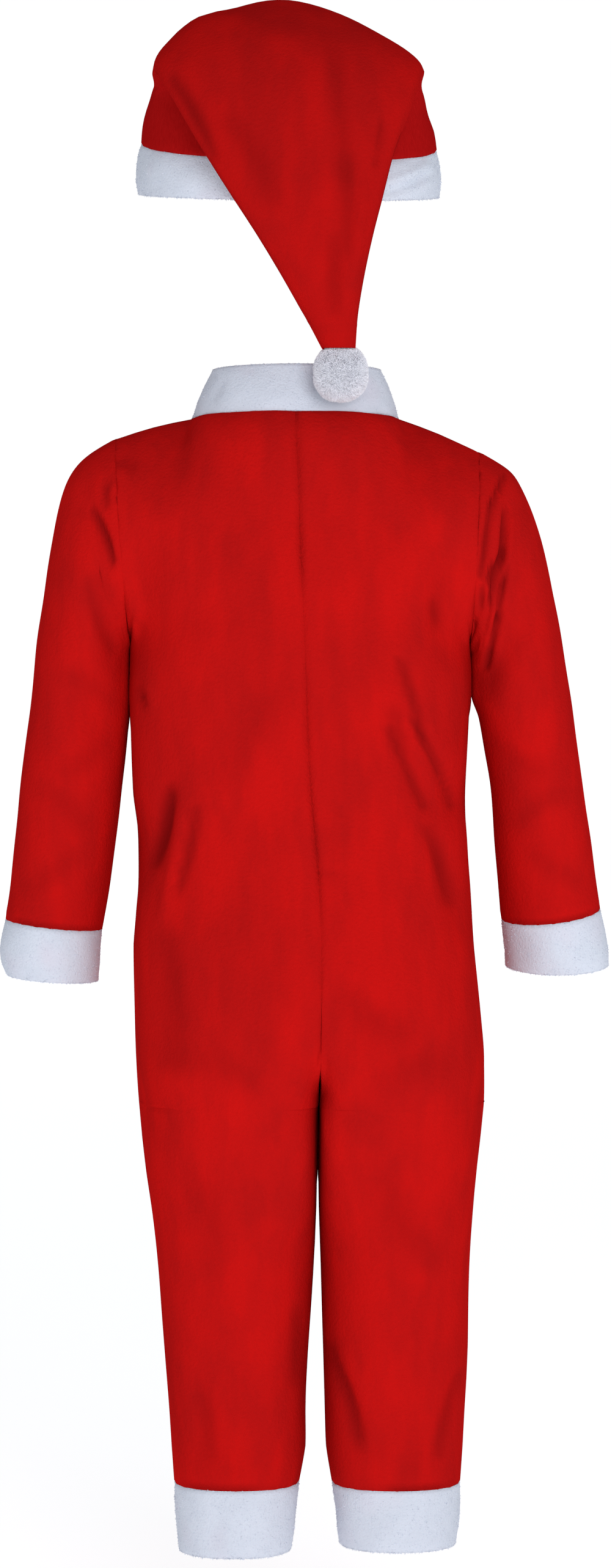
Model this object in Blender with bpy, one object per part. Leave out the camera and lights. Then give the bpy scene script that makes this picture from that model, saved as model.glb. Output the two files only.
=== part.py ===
"""A toddler's santa suit: a one-piece velour jumpsuit in its worn, hollow form, and its stocking hat.

The back of the suit faces -Y, the wearer's left side lies at -X and +Z is up.  The origin is the
middle of the neck opening at the height of the neck seam, where the shoulders carry the suit.

Every cloth piece is cut as a flat strip in pattern coordinates (u across, v along, depth through
the cloth), given its thickness there, and then laid on the figure by that piece's own rule.
"""

import functools
import math
from collections import namedtuple

import bmesh
import bpy
from mathutils import Vector

# ------------------------------------------------------------------ driving dimensions (metres)
VELOUR = 0.0018          # wall of the red cloth
PLUSH = 0.0032           # wall of the white trim, a folded double layer
SEAM_GAP = 0.0003        # between two pieces that are sewn together
PROUD = 0.0003           # how far the trim stands out beyond the red cloth it is sewn to

NECK_HALF_WIDTH = 0.0557
NECK_BACK = 0.0440       # neck seam, from the middle to the centre back
NECK_FRONT = 0.0470
NECK_Z = -0.0018
NECK_FRONT_DROP = 0.0200
COLLAR_TOP_HALF_WIDTH = 0.0453
COLLAR_TOP_BACK = 0.0350
COLLAR_TOP_FRONT = 0.0380
COLLAR_HEIGHT = 0.0258
COLLAR_SHIFT = 0.0008    # the collar's top sits a little to the right
COLLAR_OPENING = 0.0024  # gap between the collar's two ends at the centre front

BLADE_Z = -0.060         # height where the rounded yoke ends and the plain back begins
CROTCH_TOP_Z = -0.328    # the centre seams start to turn in between the legs
FORK_Z = -0.366          # the four panels meet and the legs part
LEG_START_Z = -0.270     # the section starts to change from half a trunk to a leg
LEG_WHOLE_Z = -0.420
THIGH_END_Z = -0.450     # the thighs press together down to about here
HEM_Z = -0.566           # red cloth ends, ankle cuff begins
ANKLE_Z = {"left": -0.6018, "right": -0.5986}    # bottom of the ankle cuffs
ARMHOLE_DEPTH = 0.043    # armhole, from the shoulder plane to its back or front edge

PLACKET_TOP_Z = -0.012
PLACKET_BOTTOM_Z = -0.284

POMPOM_X, POMPOM_Z = 0.0240, 0.0160
POMPOM_RADIUS = 0.0160   # to the tips of its locks
POMPOM_CORE = 0.0120
POMPOM_CUTS = 4          # each face of the starting cube becomes (cuts + 1) squared locks
LOCK_TAPER = 0.62        # width of a lock's tip, as a share of its root
LOCK_UNEVEN = 0.0012     # the shortest lock is this much shorter than the longest

TRUNK_ROUND = 2.6        # superellipse exponents: 2 is an ellipse, more is squarer
LEG_ROUND = 2.2
THIGH_ROUND = 6.0
ARMHOLE_ROUND = 2.4      # how late the back falls away towards the armhole
CLEFT_CROWDING = 0.35    # how much the columns crowd towards the cleft between the legs
YOKE_START = 0.038       # slope of the skin as it leaves the neck seam, and more of it
YOKE_SHOULDER = 0.016    # where it leaves the shoulder seam
YOKE_DIP, YOKE_NECK_DIP = 0.012, 0.020
YOKE_END = (0.006, -0.060)   # slope where the yoke meets the plain back: outwards and down

# ------------------------------------------------------------------ sections of the suit
Section = namedtuple("Section", "z left left_in right_in right back front")
SECTIONS = (
    # height, left side, centre or inner leg (left, right), right side, depth behind and before
    Section(-0.0600, -0.0915, 0.0023, 0.0023, 0.0955, 0.0600, 0.0570),
    Section(-0.0925, -0.0890, 0.0036, 0.0036, 0.0935, 0.0655, 0.0625),
    Section(-0.1235, -0.0874, 0.0049, 0.0049, 0.0926, 0.0675, 0.0660),
    Section(-0.1500, -0.0874, 0.0058, 0.0058, 0.0928, 0.0680, 0.0690),
    Section(-0.1755, -0.0870, 0.0066, 0.0066, 0.0917, 0.0675, 0.0715),
    Section(-0.2015, -0.0862, 0.0083, 0.0083, 0.0904, 0.0665, 0.0735),
    Section(-0.2145, -0.0842, 0.0095, 0.0095, 0.0907, 0.0665, 0.0740),
    Section(-0.2275, -0.0835, 0.0107, 0.0107, 0.0913, 0.0670, 0.0745),
    Section(-0.2535, -0.0836, 0.0128, 0.0128, 0.0934, 0.0690, 0.0745),
    Section(-0.2795, -0.0860, 0.0136, 0.0136, 0.0949, 0.0720, 0.0735),
    Section(-0.3055, -0.0856, 0.0137, 0.0137, 0.0975, 0.0740, 0.0715),
    Section(-0.3315, -0.0850, 0.0135, 0.0135, 0.0999, 0.0735, 0.0690),
    Section(-0.3510, -0.0841, 0.0130, 0.0130, 0.1006, 0.0705, 0.0650),
    Section(-0.3705, -0.0826, 0.0123, 0.0124, 0.1001, 0.0645, 0.0600),
    Section(-0.3965, -0.0800, 0.0119, 0.0121, 0.0970, 0.0550, 0.0530),
    Section(-0.4225, -0.0762, 0.0114, 0.0124, 0.0946, 0.0495, 0.0480),
    Section(-0.4485, -0.0732, 0.0102, 0.0133, 0.0928, 0.0460, 0.0450),
    Section(-0.4745, -0.0712, 0.0086, 0.0140, 0.0921, 0.0430, 0.0425),
    Section(-0.5005, -0.0692, 0.0068, 0.0148, 0.0917, 0.0400, 0.0400),
    Section(-0.5265, -0.0671, 0.0057, 0.0155, 0.0902, 0.0375, 0.0375),
    Section(-0.5525, -0.0654, 0.0055, 0.0165, 0.0888, 0.0352, 0.0355),
    Section(-0.5660, -0.0644, 0.0024, 0.0192, 0.0878, 0.0342, 0.0345),
    Section(-0.5850, -0.0630, 0.0000, 0.0222, 0.0868, 0.0336, 0.0338),
    Section(-0.6020, -0.0622, -0.0018, 0.0232, 0.0855, 0.0326, 0.0328),
)

# Rings of each sleeve, from the armhole to the end of the cuff.  A ring runs from its outer point
# over the back to its inner point and round the front; its plane holds both points.
Ring = namedtuple("Ring", "outer_x outer_z inner_x inner_z half_depth middle_y lean")
SLEEVE_RINGS = {
    "left": (
        Ring(-0.0952, -0.0124, -0.0874, -0.1230, ARMHOLE_DEPTH, 0.0000, 0.00),
        Ring(-0.1108, -0.0220, -0.0884, -0.1262, 0.0420, 0.0000, 0.00),
        Ring(-0.1218, -0.0368, -0.0885, -0.1292, 0.0395, 0.0000, 0.00),
        Ring(-0.1288, -0.0640, -0.0885, -0.1332, 0.0360, 0.0000, 0.00),
        Ring(-0.1338, -0.0960, -0.0884, -0.1395, 0.0325, 0.0000, 0.00),
        Ring(-0.1380, -0.1270, -0.0883, -0.1490, 0.0300, 0.0000, 0.01),
        Ring(-0.1414, -0.1590, -0.0888, -0.1650, 0.0285, 0.0005, 0.02),
        Ring(-0.1460, -0.1950, -0.0918, -0.1970, 0.0280, 0.0020, 0.04),
        Ring(-0.1500, -0.2330, -0.0972, -0.2370, 0.0275, 0.0050, 0.06),
        Ring(-0.1548, -0.2675, -0.1028, -0.2733, 0.0268, 0.0080, 0.07),
        Ring(-0.1572, -0.2860, -0.1040, -0.2900, 0.0266, 0.0095, 0.07),
        Ring(-0.1546, -0.2975, -0.1050, -0.3010, 0.0255, 0.0105, 0.07),
    ),
    "right": (
        Ring(0.0975, -0.0195, 0.0926, -0.1250, ARMHOLE_DEPTH, 0.0000, 0.00),
        Ring(0.1130, -0.0287, 0.0941, -0.1282, 0.0420, 0.0000, 0.00),
        Ring(0.1212, -0.0415, 0.0941, -0.1312, 0.0395, 0.0000, 0.00),
        Ring(0.1312, -0.0670, 0.0941, -0.1350, 0.0360, 0.0000, 0.00),
        Ring(0.1373, -0.0960, 0.0942, -0.1405, 0.0325, 0.0000, 0.00),
        Ring(0.1430, -0.1270, 0.0945, -0.1490, 0.0300, 0.0000, 0.02),
        Ring(0.1480, -0.1590, 0.0983, -0.1640, 0.0280, 0.0010, 0.05),
        Ring(0.1526, -0.1930, 0.1036, -0.1950, 0.0272, 0.0040, 0.10),
        Ring(0.1582, -0.2290, 0.1070, -0.2320, 0.0268, 0.0090, 0.16),
        Ring(0.1635, -0.2620, 0.1102, -0.2680, 0.0264, 0.0150, 0.19),
        Ring(0.1672, -0.2810, 0.1126, -0.2845, 0.0266, 0.0180, 0.19),
        Ring(0.1685, -0.2925, 0.1124, -0.2930, 0.0260, 0.0200, 0.19),
    ),
}
SEAM_RING = 9            # the ring where the sleeve ends and its cuff begins
SHOULDER_RISE = 0.0010   # how far the shoulder seam rises above a straight line

# Rings of the hat's cone, from the brim, over the head and down the back to the tail's tip.  The
# side seams run through (side_y, side_z); the front panel bulges to the "over" point and the back
# panel to the "under" point.  Roundness is the exponent of each half of the front panel.
Cone = namedtuple("Cone", "side_y side_z left right over_y over_z under_y under_z"
                  " round_left round_right")
CONE_RINGS = (
    Cone(0.0140, 0.1455, -0.0825, 0.0758, 0.0925, 0.1655, -0.0640, 0.1256, 2.2, 2.2),
    Cone(0.0125, 0.1540, -0.0818, 0.0744, 0.0885, 0.1795, -0.0625, 0.1380, 2.2, 2.2),
    Cone(0.0070, 0.1620, -0.0798, 0.0709, 0.0760, 0.1930, -0.0605, 0.1530, 2.2, 2.1),
    Cone(-0.0050, 0.1680, -0.0768, 0.0687, 0.0520, 0.2080, -0.0580, 0.1620, 2.1, 1.8),
    Cone(-0.0220, 0.1715, -0.0742, 0.0666, 0.0200, 0.2155, -0.0572, 0.1668, 1.9, 1.5),
    Cone(-0.0400, 0.1745, -0.0745, 0.0675, -0.0170, 0.2170, -0.0583, 0.1696, 1.8, 1.4),
    Cone(-0.0560, 0.1725, -0.0725, 0.0665, -0.0510, 0.2050, -0.0612, 0.1690, 1.9, 1.5),
    Cone(-0.0665, 0.1625, -0.0665, 0.0635, -0.0740, 0.1815, -0.0650, 0.1612, 2.0, 1.7),
    Cone(-0.0730, 0.1470, -0.0580, 0.0585, -0.0850, 0.1560, -0.0685, 0.1475, 2.0, 2.0),
    Cone(-0.0770, 0.1270, -0.0465, 0.0510, -0.0890, 0.1300, -0.0712, 0.1300, 2.0, 2.0),
    Cone(-0.0780, 0.1055, -0.0330, 0.0455, -0.0890, 0.1060, -0.0730, 0.1065, 2.0, 2.0),
    Cone(-0.0765, 0.0850, -0.0195, 0.0402, -0.0860, 0.0850, -0.0718, 0.0850, 2.0, 2.0),
    Cone(-0.0715, 0.0650, -0.0070, 0.0358, -0.0800, 0.0640, -0.0670, 0.0660, 2.0, 2.0),
    Cone(-0.0635, 0.0475, 0.0035, 0.0328, -0.0712, 0.0455, -0.0580, 0.0495, 2.0, 2.0),
    Cone(-0.0590, 0.0370, 0.0102, 0.0318, -0.0660, 0.0358, -0.0532, 0.0385, 2.0, 2.0),
    Cone(-0.0572, 0.0318, 0.0138, 0.0314, -0.0635, 0.0314, -0.0513, 0.0323, 2.0, 2.0),
)
UNDER_ROUND = 2.2        # roundness of the back panel
TAIL_RING = 7            # from this ring on the cone hangs as the tail
BRIM_RINGS = 3           # the brim's roll dies out over these
BAND_BOTTOM_Z = 0.1192
BRIM_TILT = 0.185        # the brim's lower edge dips towards the back by this slope
BRIM_ROLL = -0.012       # and the whole brim towards the right
BAND_HALF_WIDTH = 0.0808
BAND_HALF_DEPTH = 0.0800
BAND_MIDDLE = (-0.0034, 0.0140)
BAND_ROUND = 2.2
BAND_BULGE = 0.0012

# ------------------------------------------------------------------ folds
# A fold is a soft trough (height below 0) or ridge along a line in the XZ plane, as wide as given.
Fold = namedtuple("Fold", "face x0 z0 x1 z1 width height")
BACK, FRONT = -1, 1
TRUNK_FOLDS = (
    Fold(BACK, -0.063, -0.196, -0.076, -0.236, 0.011, -0.0048),
    Fold(BACK, -0.050, -0.188, -0.066, -0.238, 0.012, 0.0026),
    Fold(BACK, 0.053, -0.176, 0.070, -0.204, 0.010, -0.0042),
    Fold(BACK, 0.072, -0.182, 0.082, -0.204, 0.008, -0.0032),
    Fold(BACK, 0.060, -0.166, 0.081, -0.190, 0.009, 0.0022),
    Fold(BACK, 0.074, -0.238, 0.085, -0.262, 0.010, -0.0038),
    Fold(BACK, -0.080, -0.078, -0.078, -0.118, 0.009, -0.0038),
    Fold(BACK, 0.083, -0.080, 0.080, -0.122, 0.009, -0.0042),
    Fold(BACK, 0.0135, -0.300, 0.0130, -0.352, 0.008, -0.0035),
    Fold(BACK, -0.030, -0.360, -0.062, -0.330, 0.012, -0.0029),
    Fold(BACK, 0.052, -0.360, 0.080, -0.334, 0.012, -0.0029),
    Fold(BACK, -0.040, -0.460, -0.036, -0.540, 0.012, -0.0022),
    Fold(BACK, 0.066, -0.470, 0.062, -0.545, 0.011, -0.0022),
    Fold(FRONT, -0.060, -0.190, -0.074, -0.228, 0.012, -0.0042),
    Fold(FRONT, 0.058, -0.182, 0.076, -0.212, 0.011, -0.0042),
    Fold(FRONT, -0.081, -0.082, -0.078, -0.120, 0.009, -0.0038),
    Fold(FRONT, 0.084, -0.082, 0.081, -0.122, 0.009, -0.0038),
    Fold(FRONT, -0.020, -0.356, -0.060, -0.326, 0.012, -0.0035),
    Fold(FRONT, 0.044, -0.356, 0.080, -0.330, 0.012, -0.0035),
    Fold(FRONT, -0.034, -0.455, -0.032, -0.535, 0.012, -0.0022),
    Fold(FRONT, 0.058, -0.465, 0.056, -0.540, 0.011, -0.0022),
)
SLEEVE_FOLDS = (
    Fold(BACK, -0.110, -0.050, -0.096, -0.080, 0.007, -0.0042),
    Fold(BACK, -0.098, -0.098, -0.094, -0.128, 0.006, -0.0035),
    Fold(BACK, -0.112, -0.150, -0.098, -0.170, 0.008, -0.0022),
    Fold(BACK, 0.114, -0.052, 0.107, -0.086, 0.007, -0.0045),
    Fold(BACK, 0.122, -0.070, 0.106, -0.118, 0.007, -0.0035),
    Fold(BACK, 0.126, -0.100, 0.103, -0.140, 0.007, -0.0032),
    Fold(BACK, 0.118, -0.062, 0.108, -0.104, 0.006, 0.0022),
    Fold(FRONT, -0.111, -0.052, -0.098, -0.092, 0.007, -0.0042),
    Fold(FRONT, -0.120, -0.086, -0.100, -0.130, 0.007, -0.0032),
    Fold(FRONT, 0.116, -0.054, 0.106, -0.094, 0.007, -0.0042),
    Fold(FRONT, 0.124, -0.092, 0.105, -0.134, 0.007, -0.0032),
)
HAT_FOLDS = (
    Fold(BACK, 0.022, 0.132, 0.020, 0.052, 0.006, -0.0026),
    Fold(BACK, 0.054, 0.166, 0.056, 0.140, 0.005, -0.0022),
    Fold(BACK, -0.012, 0.150, 0.002, 0.090, 0.009, -0.0016),
)

# ------------------------------------------------------------------ grids: cells across and along
HALF_COLUMNS = 8         # a body panel, from its centre seam to its side seam
NECK_COLUMNS = 4         # of these, the ones whose tops lie along the neck
YOKE_ROWS, ARMHOLE_ROWS, TRUNK_ROWS, CROTCH_ROWS, LEG_ROWS = 5, 5, 13, 6, 11
PLACKET_REACH = 0.8      # of a body panel's first column, on each side of the centre front
TUBE_COLUMNS = 20        # round a sleeve or a cuff
SLEEVE_ROWS = 18
BAND_COLUMNS = 32
CONE_COLUMNS = 10
CONE_ROWS = 28
COLLAR_COLUMNS = 32
TRIM_ROWS = 4            # along a cuff, the collar or the brim
SLOPE_STEP = 0.004       # of a skin's width, for measuring its slope
RING_STEP = 0.1          # the same, down the cone
FOLD_START, FOLD_END = (2.0, 4.0), (9.0, 11.0)      # rings where the under panel's wall turns
SINK_START, SINK_END = (3.5, 5.0), (7.0, 8.5)       # square to its fold, and sinks below it
TINY = 1e-6

# ------------------------------------------------------------------ cloths
Cloth = namedtuple("Cloth", "colour roughness")
RED = Cloth((0.52, 0.006, 0.006, 1.0), 0.85)
WHITE = Cloth((0.66, 0.71, 0.80, 1.0), 0.95)
SHARP_ANGLE = math.radians(50)


# ------------------------------------------------------------------ small helpers
def smooth_column(rows, along, column):
    """The column's value as a smooth function of the along column (cubic Hermite, one key a row)."""
    keys = [getattr(row, along) if isinstance(along, str) else along(row) for row in rows]
    values = [getattr(row, column) for row in rows]
    if keys[0] > keys[-1]:
        keys, values = keys[::-1], values[::-1]
    slopes = []
    for i in range(len(keys)):
        before, after = max(i - 1, 0), min(i + 1, len(keys) - 1)
        slopes.append((values[after] - values[before]) / (keys[after] - keys[before]))

    @functools.lru_cache(maxsize=None)
    def value(key):
        key = min(max(key, keys[0]), keys[-1])
        i = 0
        while i < len(keys) - 2 and key > keys[i + 1]:
            i += 1
        span = keys[i + 1] - keys[i]
        return hermite(values[i], values[i + 1], slopes[i] * span, slopes[i + 1] * span,
                       (key - keys[i]) / span)

    return value


def hermite(start, end, start_slope, end_slope, s):
    """The cubic curve between two values or points with the given slopes at its ends."""
    s2, s3 = s * s, s * s * s
    return (start * (2 * s3 - 3 * s2 + 1) + start_slope * (s3 - 2 * s2 + s)
            + end * (3 * s2 - 2 * s3) + end_slope * (s3 - s2))


def steps(start, end, count):
    """Count heights from just after start down to end."""
    return [start + (end - start) * (i + 1) / count for i in range(count)]


def pick(values, fraction):
    """The value at a fraction of the list's length, between two values where it falls there."""
    place = fraction * (len(values) - 1)
    i = min(int(place), len(values) - 2)
    return values[i] + (values[i + 1] - values[i]) * (place - i)


def arch(t, exponent):
    """A superellipse's height over its span: 0 at t = 0 and 1, and 1 in the middle."""
    reach = min(abs(2 * t - 1), 1.0)
    return (1 - reach ** exponent) ** (1 / exponent)


def fold_height(folds, face, x, z):
    """How far the folds lift the cloth at (x, z) on its back or front face."""
    height = 0.0
    for fold in folds:
        if fold.face != face:
            continue
        run_x, run_z = fold.x1 - fold.x0, fold.z1 - fold.z0
        along = ((x - fold.x0) * run_x + (z - fold.z0) * run_z) / (run_x ** 2 + run_z ** 2)
        along = min(max(along, 0.0), 1.0)
        away = math.hypot(x - fold.x0 - along * run_x, z - fold.z0 - along * run_z)
        height += fold.height * math.exp(-(away / fold.width) ** 2)
    return height


def cloth(name, lay, columns, rows, stuff, tube=False):
    """Cut a strip of columns by rows cells, give it thickness and lay it with lay(u, v, depth).

    Depth is 0 on the outer skin and 1 on the inner one.  A tube's two long edges are joined.
    """
    bm = bmesh.new()
    bmesh.ops.create_grid(bm, x_segments=columns, y_segments=rows, size=0.5)
    outer = list(bm.verts)
    bmesh.ops.translate(bm, verts=outer, vec=(0.5, 0.5, 0.0))
    thick = bmesh.ops.extrude_face_region(bm, geom=bm.faces[:])
    inner = [item for item in thick["geom"] if isinstance(item, bmesh.types.BMVert)]
    bmesh.ops.translate(bm, verts=inner, vec=(0.0, 0.0, 1.0))
    if tube:
        ends = [face for face in bm.faces
                if all(v.co.x < TINY for v in face.verts) or all(v.co.x > 1 - TINY for v in face.verts)]
        bmesh.ops.delete(bm, geom=ends, context="FACES_ONLY")
    for vertex in bm.verts:
        vertex.co = lay(*vertex.co)
    if tube:
        bmesh.ops.remove_doubles(bm, verts=bm.verts, dist=TINY)
    return finish(name, bm, stuff)


def finish(name, bm, stuff):
    """Turn a closed mesh into a named object with a material of its own."""
    bmesh.ops.recalc_face_normals(bm, faces=bm.faces)
    if bm.calc_volume(signed=True) < 0:
        bmesh.ops.reverse_faces(bm, faces=bm.faces)
    mesh = bpy.data.meshes.new(name)
    bm.to_mesh(mesh)
    bm.free()
    mesh.shade_smooth()
    mesh.set_sharp_from_angle(angle=SHARP_ANGLE)
    material = bpy.data.materials.new(name)
    material.use_nodes = True
    shader = material.node_tree.nodes["Principled BSDF"]
    shader.inputs["Base Color"].default_value = stuff.colour
    shader.inputs["Roughness"].default_value = stuff.roughness
    shader.inputs["Metallic"].default_value = 0.0
    mesh.materials.append(material)
    thing = bpy.data.objects.new(name, mesh)
    bpy.context.scene.collection.objects.link(thing)
    return thing


# ------------------------------------------------------------------ neck and sleeves
def neck_point(angle, height=0.0):
    """A point of the neck seam's outline; angle 0 is the centre back, positive towards the left."""
    back = math.cos(angle) > 0
    half_width = NECK_HALF_WIDTH + (COLLAR_TOP_HALF_WIDTH - NECK_HALF_WIDTH) * height
    if back:
        depth = NECK_BACK + (COLLAR_TOP_BACK - NECK_BACK) * height
    else:
        depth = NECK_FRONT + (COLLAR_TOP_FRONT - NECK_FRONT) * height
    drop = 0.0 if back else NECK_FRONT_DROP * math.cos(angle) ** 2
    return Vector((COLLAR_SHIFT * height - half_width * math.sin(angle), -depth * math.cos(angle),
                   NECK_Z - drop + COLLAR_HEIGHT * height))


def neck_seam(angle):
    """The neck seam as the panels' straight cells follow it."""
    step = math.pi / 2 / NECK_COLUMNS
    first = math.floor(angle / step)
    return neck_point(first * step).lerp(neck_point((first + 1) * step), angle / step - first)


def neck_inward(angle):
    """The level direction from the neck seam to the middle of the neck."""
    point = neck_point(angle)
    depth = NECK_BACK if math.cos(angle) > 0 else NECK_FRONT
    return -Vector((point.x / NECK_HALF_WIDTH ** 2, point.y / depth ** 2, 0.0)).normalized()


class Sleeve:
    """One sleeve and its cuff: elliptical rings between an outer and an inner line."""

    def __init__(self, side):
        rings = SLEEVE_RINGS[side]
        self.sign = -1 if side == "left" else 1
        self.columns = {name: smooth_column(rows=rings, along=rings.index, column=name)
                        for name in Ring._fields}

    def ring(self, place):
        """The ring at a place counted in rows of the table, with its middle and its two arms."""
        ring = Ring(*(self.columns[name](place) for name in Ring._fields))
        outer = Vector((ring.outer_x, ring.middle_y, ring.outer_z))
        inner = Vector((ring.inner_x, ring.middle_y, ring.inner_z))
        across = (outer - inner) / 2
        behind = Vector((0.0, -ring.half_depth, -ring.half_depth * ring.lean))
        return (outer + inner) / 2, across, behind

    def point(self, place, angle):
        """A point of the outer skin; angle 0 is the outer line, a quarter turn the back."""
        middle, across, behind = self.ring(place)
        return middle + across * math.cos(angle) + behind * math.sin(angle)

    def inward(self, place, angle):
        """The direction in the ring's plane from the outer skin to the inner one."""
        _, across, behind = self.ring(place)
        return -(across * (math.cos(angle) / across.length_squared)
                 + behind * (math.sin(angle) / behind.length_squared)).normalized()

    def folded(self, place, angle):
        """A point of the outer skin with the sleeve's folds, which fade out at both its ends."""
        point = self.point(place, angle)
        face = BACK if math.sin(angle) > 0 else FRONT
        fade = min(1.0, place / 1.2) * min(1.0, (SEAM_RING - place) / 1.0) * abs(math.sin(angle))
        lift = fold_height(SLEEVE_FOLDS, face, point.x, point.z) * max(fade, 0.0)
        return point - self.inward(place, angle) * lift

    def armhole_angle(self, z):
        """Where the armhole's outline, on its back half, has the height z."""
        middle, across, _ = self.ring(0)
        return math.acos(min(max((z - middle.z) / across.z, -1.0), 1.0))


# ------------------------------------------------------------------ body panels
BODY_VALUES = {name: smooth_column(SECTIONS, "z", name) for name in Section._fields}


def ease(value, start, end):
    """0 at start and 1 at end, with a level run at both."""
    share = min(max((value - start) / (end - start), 0.0), 1.0)
    return share * share * (3 - 2 * share)


def seam_reach(z):
    """How far out the centre seam lies, as a share of the body's depth: a quarter circle inwards
    round the crotch, from 1 on the trunk to 0 along the inner leg."""
    turned = min(max((CROTCH_TOP_Z - z) / (CROTCH_TOP_Z - FORK_Z), 0.0), 1.0)
    return math.sqrt(1.0 - turned * turned)


def leg_share(z):
    """0 where a section is half a trunk and 1 where it is a whole leg."""
    return ease(z, LEG_START_Z, LEG_WHOLE_Z)


def cleft_crowding(z):
    """How strongly the columns crowd towards the centre seam, so that the cleft stays narrow."""
    return 1.0 + CLEFT_CROWDING * (1 - ease(z, FORK_Z, THIGH_END_Z))


def inner_round(z):
    """The exponent of a leg's inner half: flat where the thighs press together, round below."""
    return THIGH_ROUND + (LEG_ROUND - THIGH_ROUND) * ease(z, FORK_Z, THIGH_END_Z)


class BodyPanel:
    """A quarter of the jumpsuit, from the neck and shoulder seams down to one ankle."""

    def __init__(self, side, face, sleeve):
        self.side = side
        self.sign = -1 if side == "left" else 1
        self.face = face
        self.sleeve = sleeve
        self.neck_share = NECK_COLUMNS / HALF_COLUMNS
        self.depth = BODY_VALUES["back" if face == BACK else "front"]
        quarter = math.pi / 2 / CROTCH_ROWS
        self.rows = ([0.0] + steps(0.0, BLADE_Z, YOKE_ROWS)
                     + steps(BLADE_Z, self.underarm_z(), ARMHOLE_ROWS)
                     + steps(self.underarm_z(), CROTCH_TOP_Z, TRUNK_ROWS)
                     + [CROTCH_TOP_Z + (FORK_Z - CROTCH_TOP_Z) * math.sin(quarter * (i + 1))
                        for i in range(CROTCH_ROWS)]
                     + steps(FORK_Z, HEM_Z, LEG_ROWS))

    def underarm_z(self):
        """The height where the armhole ends and the side seam begins."""
        return SLEEVE_RINGS[self.side][0].inner_z

    def inner_x(self, z):
        """Where the centre seam or the inner leg lies at a height."""
        return BODY_VALUES[self.side + "_in"](z) + self.sign * SEAM_GAP / 2

    def edge(self, z):
        """The panel's outer edge at a height: the armhole's outline, or the side seam below it."""
        if z >= self.underarm_z():
            return self.armhole_point(self.sleeve.armhole_angle(z))
        return Vector((BODY_VALUES[self.side](z), 0.0, z))

    def armhole_point(self, angle):
        """A point of the armhole's outline on this panel's side of the seam."""
        point = self.sleeve.point(0, angle)
        return Vector((point.x - self.sign * SEAM_GAP / 2, -point.y * self.face, point.z))

    def level(self, u, z):
        """The skin at a height where the panel runs level from the centre seam to its edge."""
        leg = leg_share(z)
        edge = self.edge(z)
        trunk_t = math.sin(math.pi / 2 * u)
        leg_t = (1 - math.cos(math.pi * u)) / 2
        if u < 0.5:
            leg_t = (2 * leg_t) ** cleft_crowding(z) / 2
        crowd = ease(z, LEG_START_Z, CROTCH_TOP_Z)
        t = min(trunk_t * (1 - crowd) + leg_t * crowd, 1.0)
        depth = self.depth(z)
        open_share = abs(edge.y) / ARMHOLE_DEPTH
        rounded = 1 - (1 - t ** TRUNK_ROUND) ** (1 / TRUNK_ROUND)
        drop = rounded * (1 - open_share) + t ** ARMHOLE_ROUND * open_share
        trunk_y = depth - (depth - abs(edge.y)) * drop
        leg_y = depth * arch(max(t, 0.5), LEG_ROUND)
        y = trunk_y * (1 - leg) + leg_y * leg
        if t < 0.5:
            power = inner_round(z)
            inset = (1 - seam_reach(z) ** power) * (1 - 2 * t) ** power
            y *= (1 - inset) ** (1 / power)
        inner_x = self.inner_x(z)
        return Vector((inner_x + (edge.x - inner_x) * t, self.face * (y + SEAM_GAP / 2), z))

    def top(self, u):
        """The panel's top edge: round the neck, then out along the shoulder seam."""
        if u <= self.neck_share:
            angle = math.pi / 2 * u / self.neck_share
            point = neck_point(angle if self.face == BACK else math.pi - angle)
            point.x *= -self.sign
            point.y += self.face * SEAM_GAP / 2
            point.z -= SEAM_GAP / 2
            return point
        out = (u - self.neck_share) / (1 - self.neck_share)
        start = self.top(self.neck_share)
        end = self.armhole_point(0.0)
        end.y = start.y
        point = start.lerp(end, out)
        point.z += SHOULDER_RISE * math.sin(math.pi * out)
        return point

    def yoke(self, u, z):
        """The skin between the top edge and the blade line, rounded over the shoulder."""
        s = z / BLADE_Z
        neck_part = max(0.0, 1 - u / self.neck_share)
        angle = math.pi / 2 * min(1.0, u / self.neck_share)
        outward = Vector((self.sign * math.sin(angle) * neck_part, self.face, 0.0)).normalized()
        start_slope = outward * (YOKE_START + YOKE_SHOULDER * (1 - neck_part))
        start_slope.z -= YOKE_DIP + YOKE_NECK_DIP * neck_part
        end_slope = Vector((0.0, self.face * YOKE_END[0], YOKE_END[1]))
        point = hermite(self.top(u), self.level(u, BLADE_Z), start_slope, end_slope, s)
        edge_point = hermite(self.top(1.0), self.level(1.0, BLADE_Z), start_slope, end_slope, s)
        armhole = self.armhole_point(self.sleeve.armhole_angle(BLADE_Z) * s)
        armhole.y += self.face * SEAM_GAP / 2
        pull = max(0.0, (u - self.neck_share) / (1 - self.neck_share)) ** 2
        return point + (armhole - edge_point) * pull

    def skin(self, u, z):
        """The outer skin without folds."""
        return self.yoke(u, z) if z > BLADE_Z else self.level(u, z)

    def normal(self, u, z):
        """The skin's outward direction, straightened at the seams that two panels share."""
        du, dz = 0.01, 0.0015
        across = self.skin(min(u + du, 1.0), z) - self.skin(max(u - du, 0.0), z)
        down = self.skin(u, max(z - dz, HEM_Z)) - self.skin(u, min(z + dz, 0.0))
        normal = across.cross(down)
        facing_x = self.sign if u > 0.5 else -self.sign
        if abs(normal.y) > 0.2 * normal.length:
            if normal.y * self.face < 0:
                normal.negate()
        elif normal.x * facing_x < 0:
            normal.negate()
        return normal.normalized()

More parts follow.
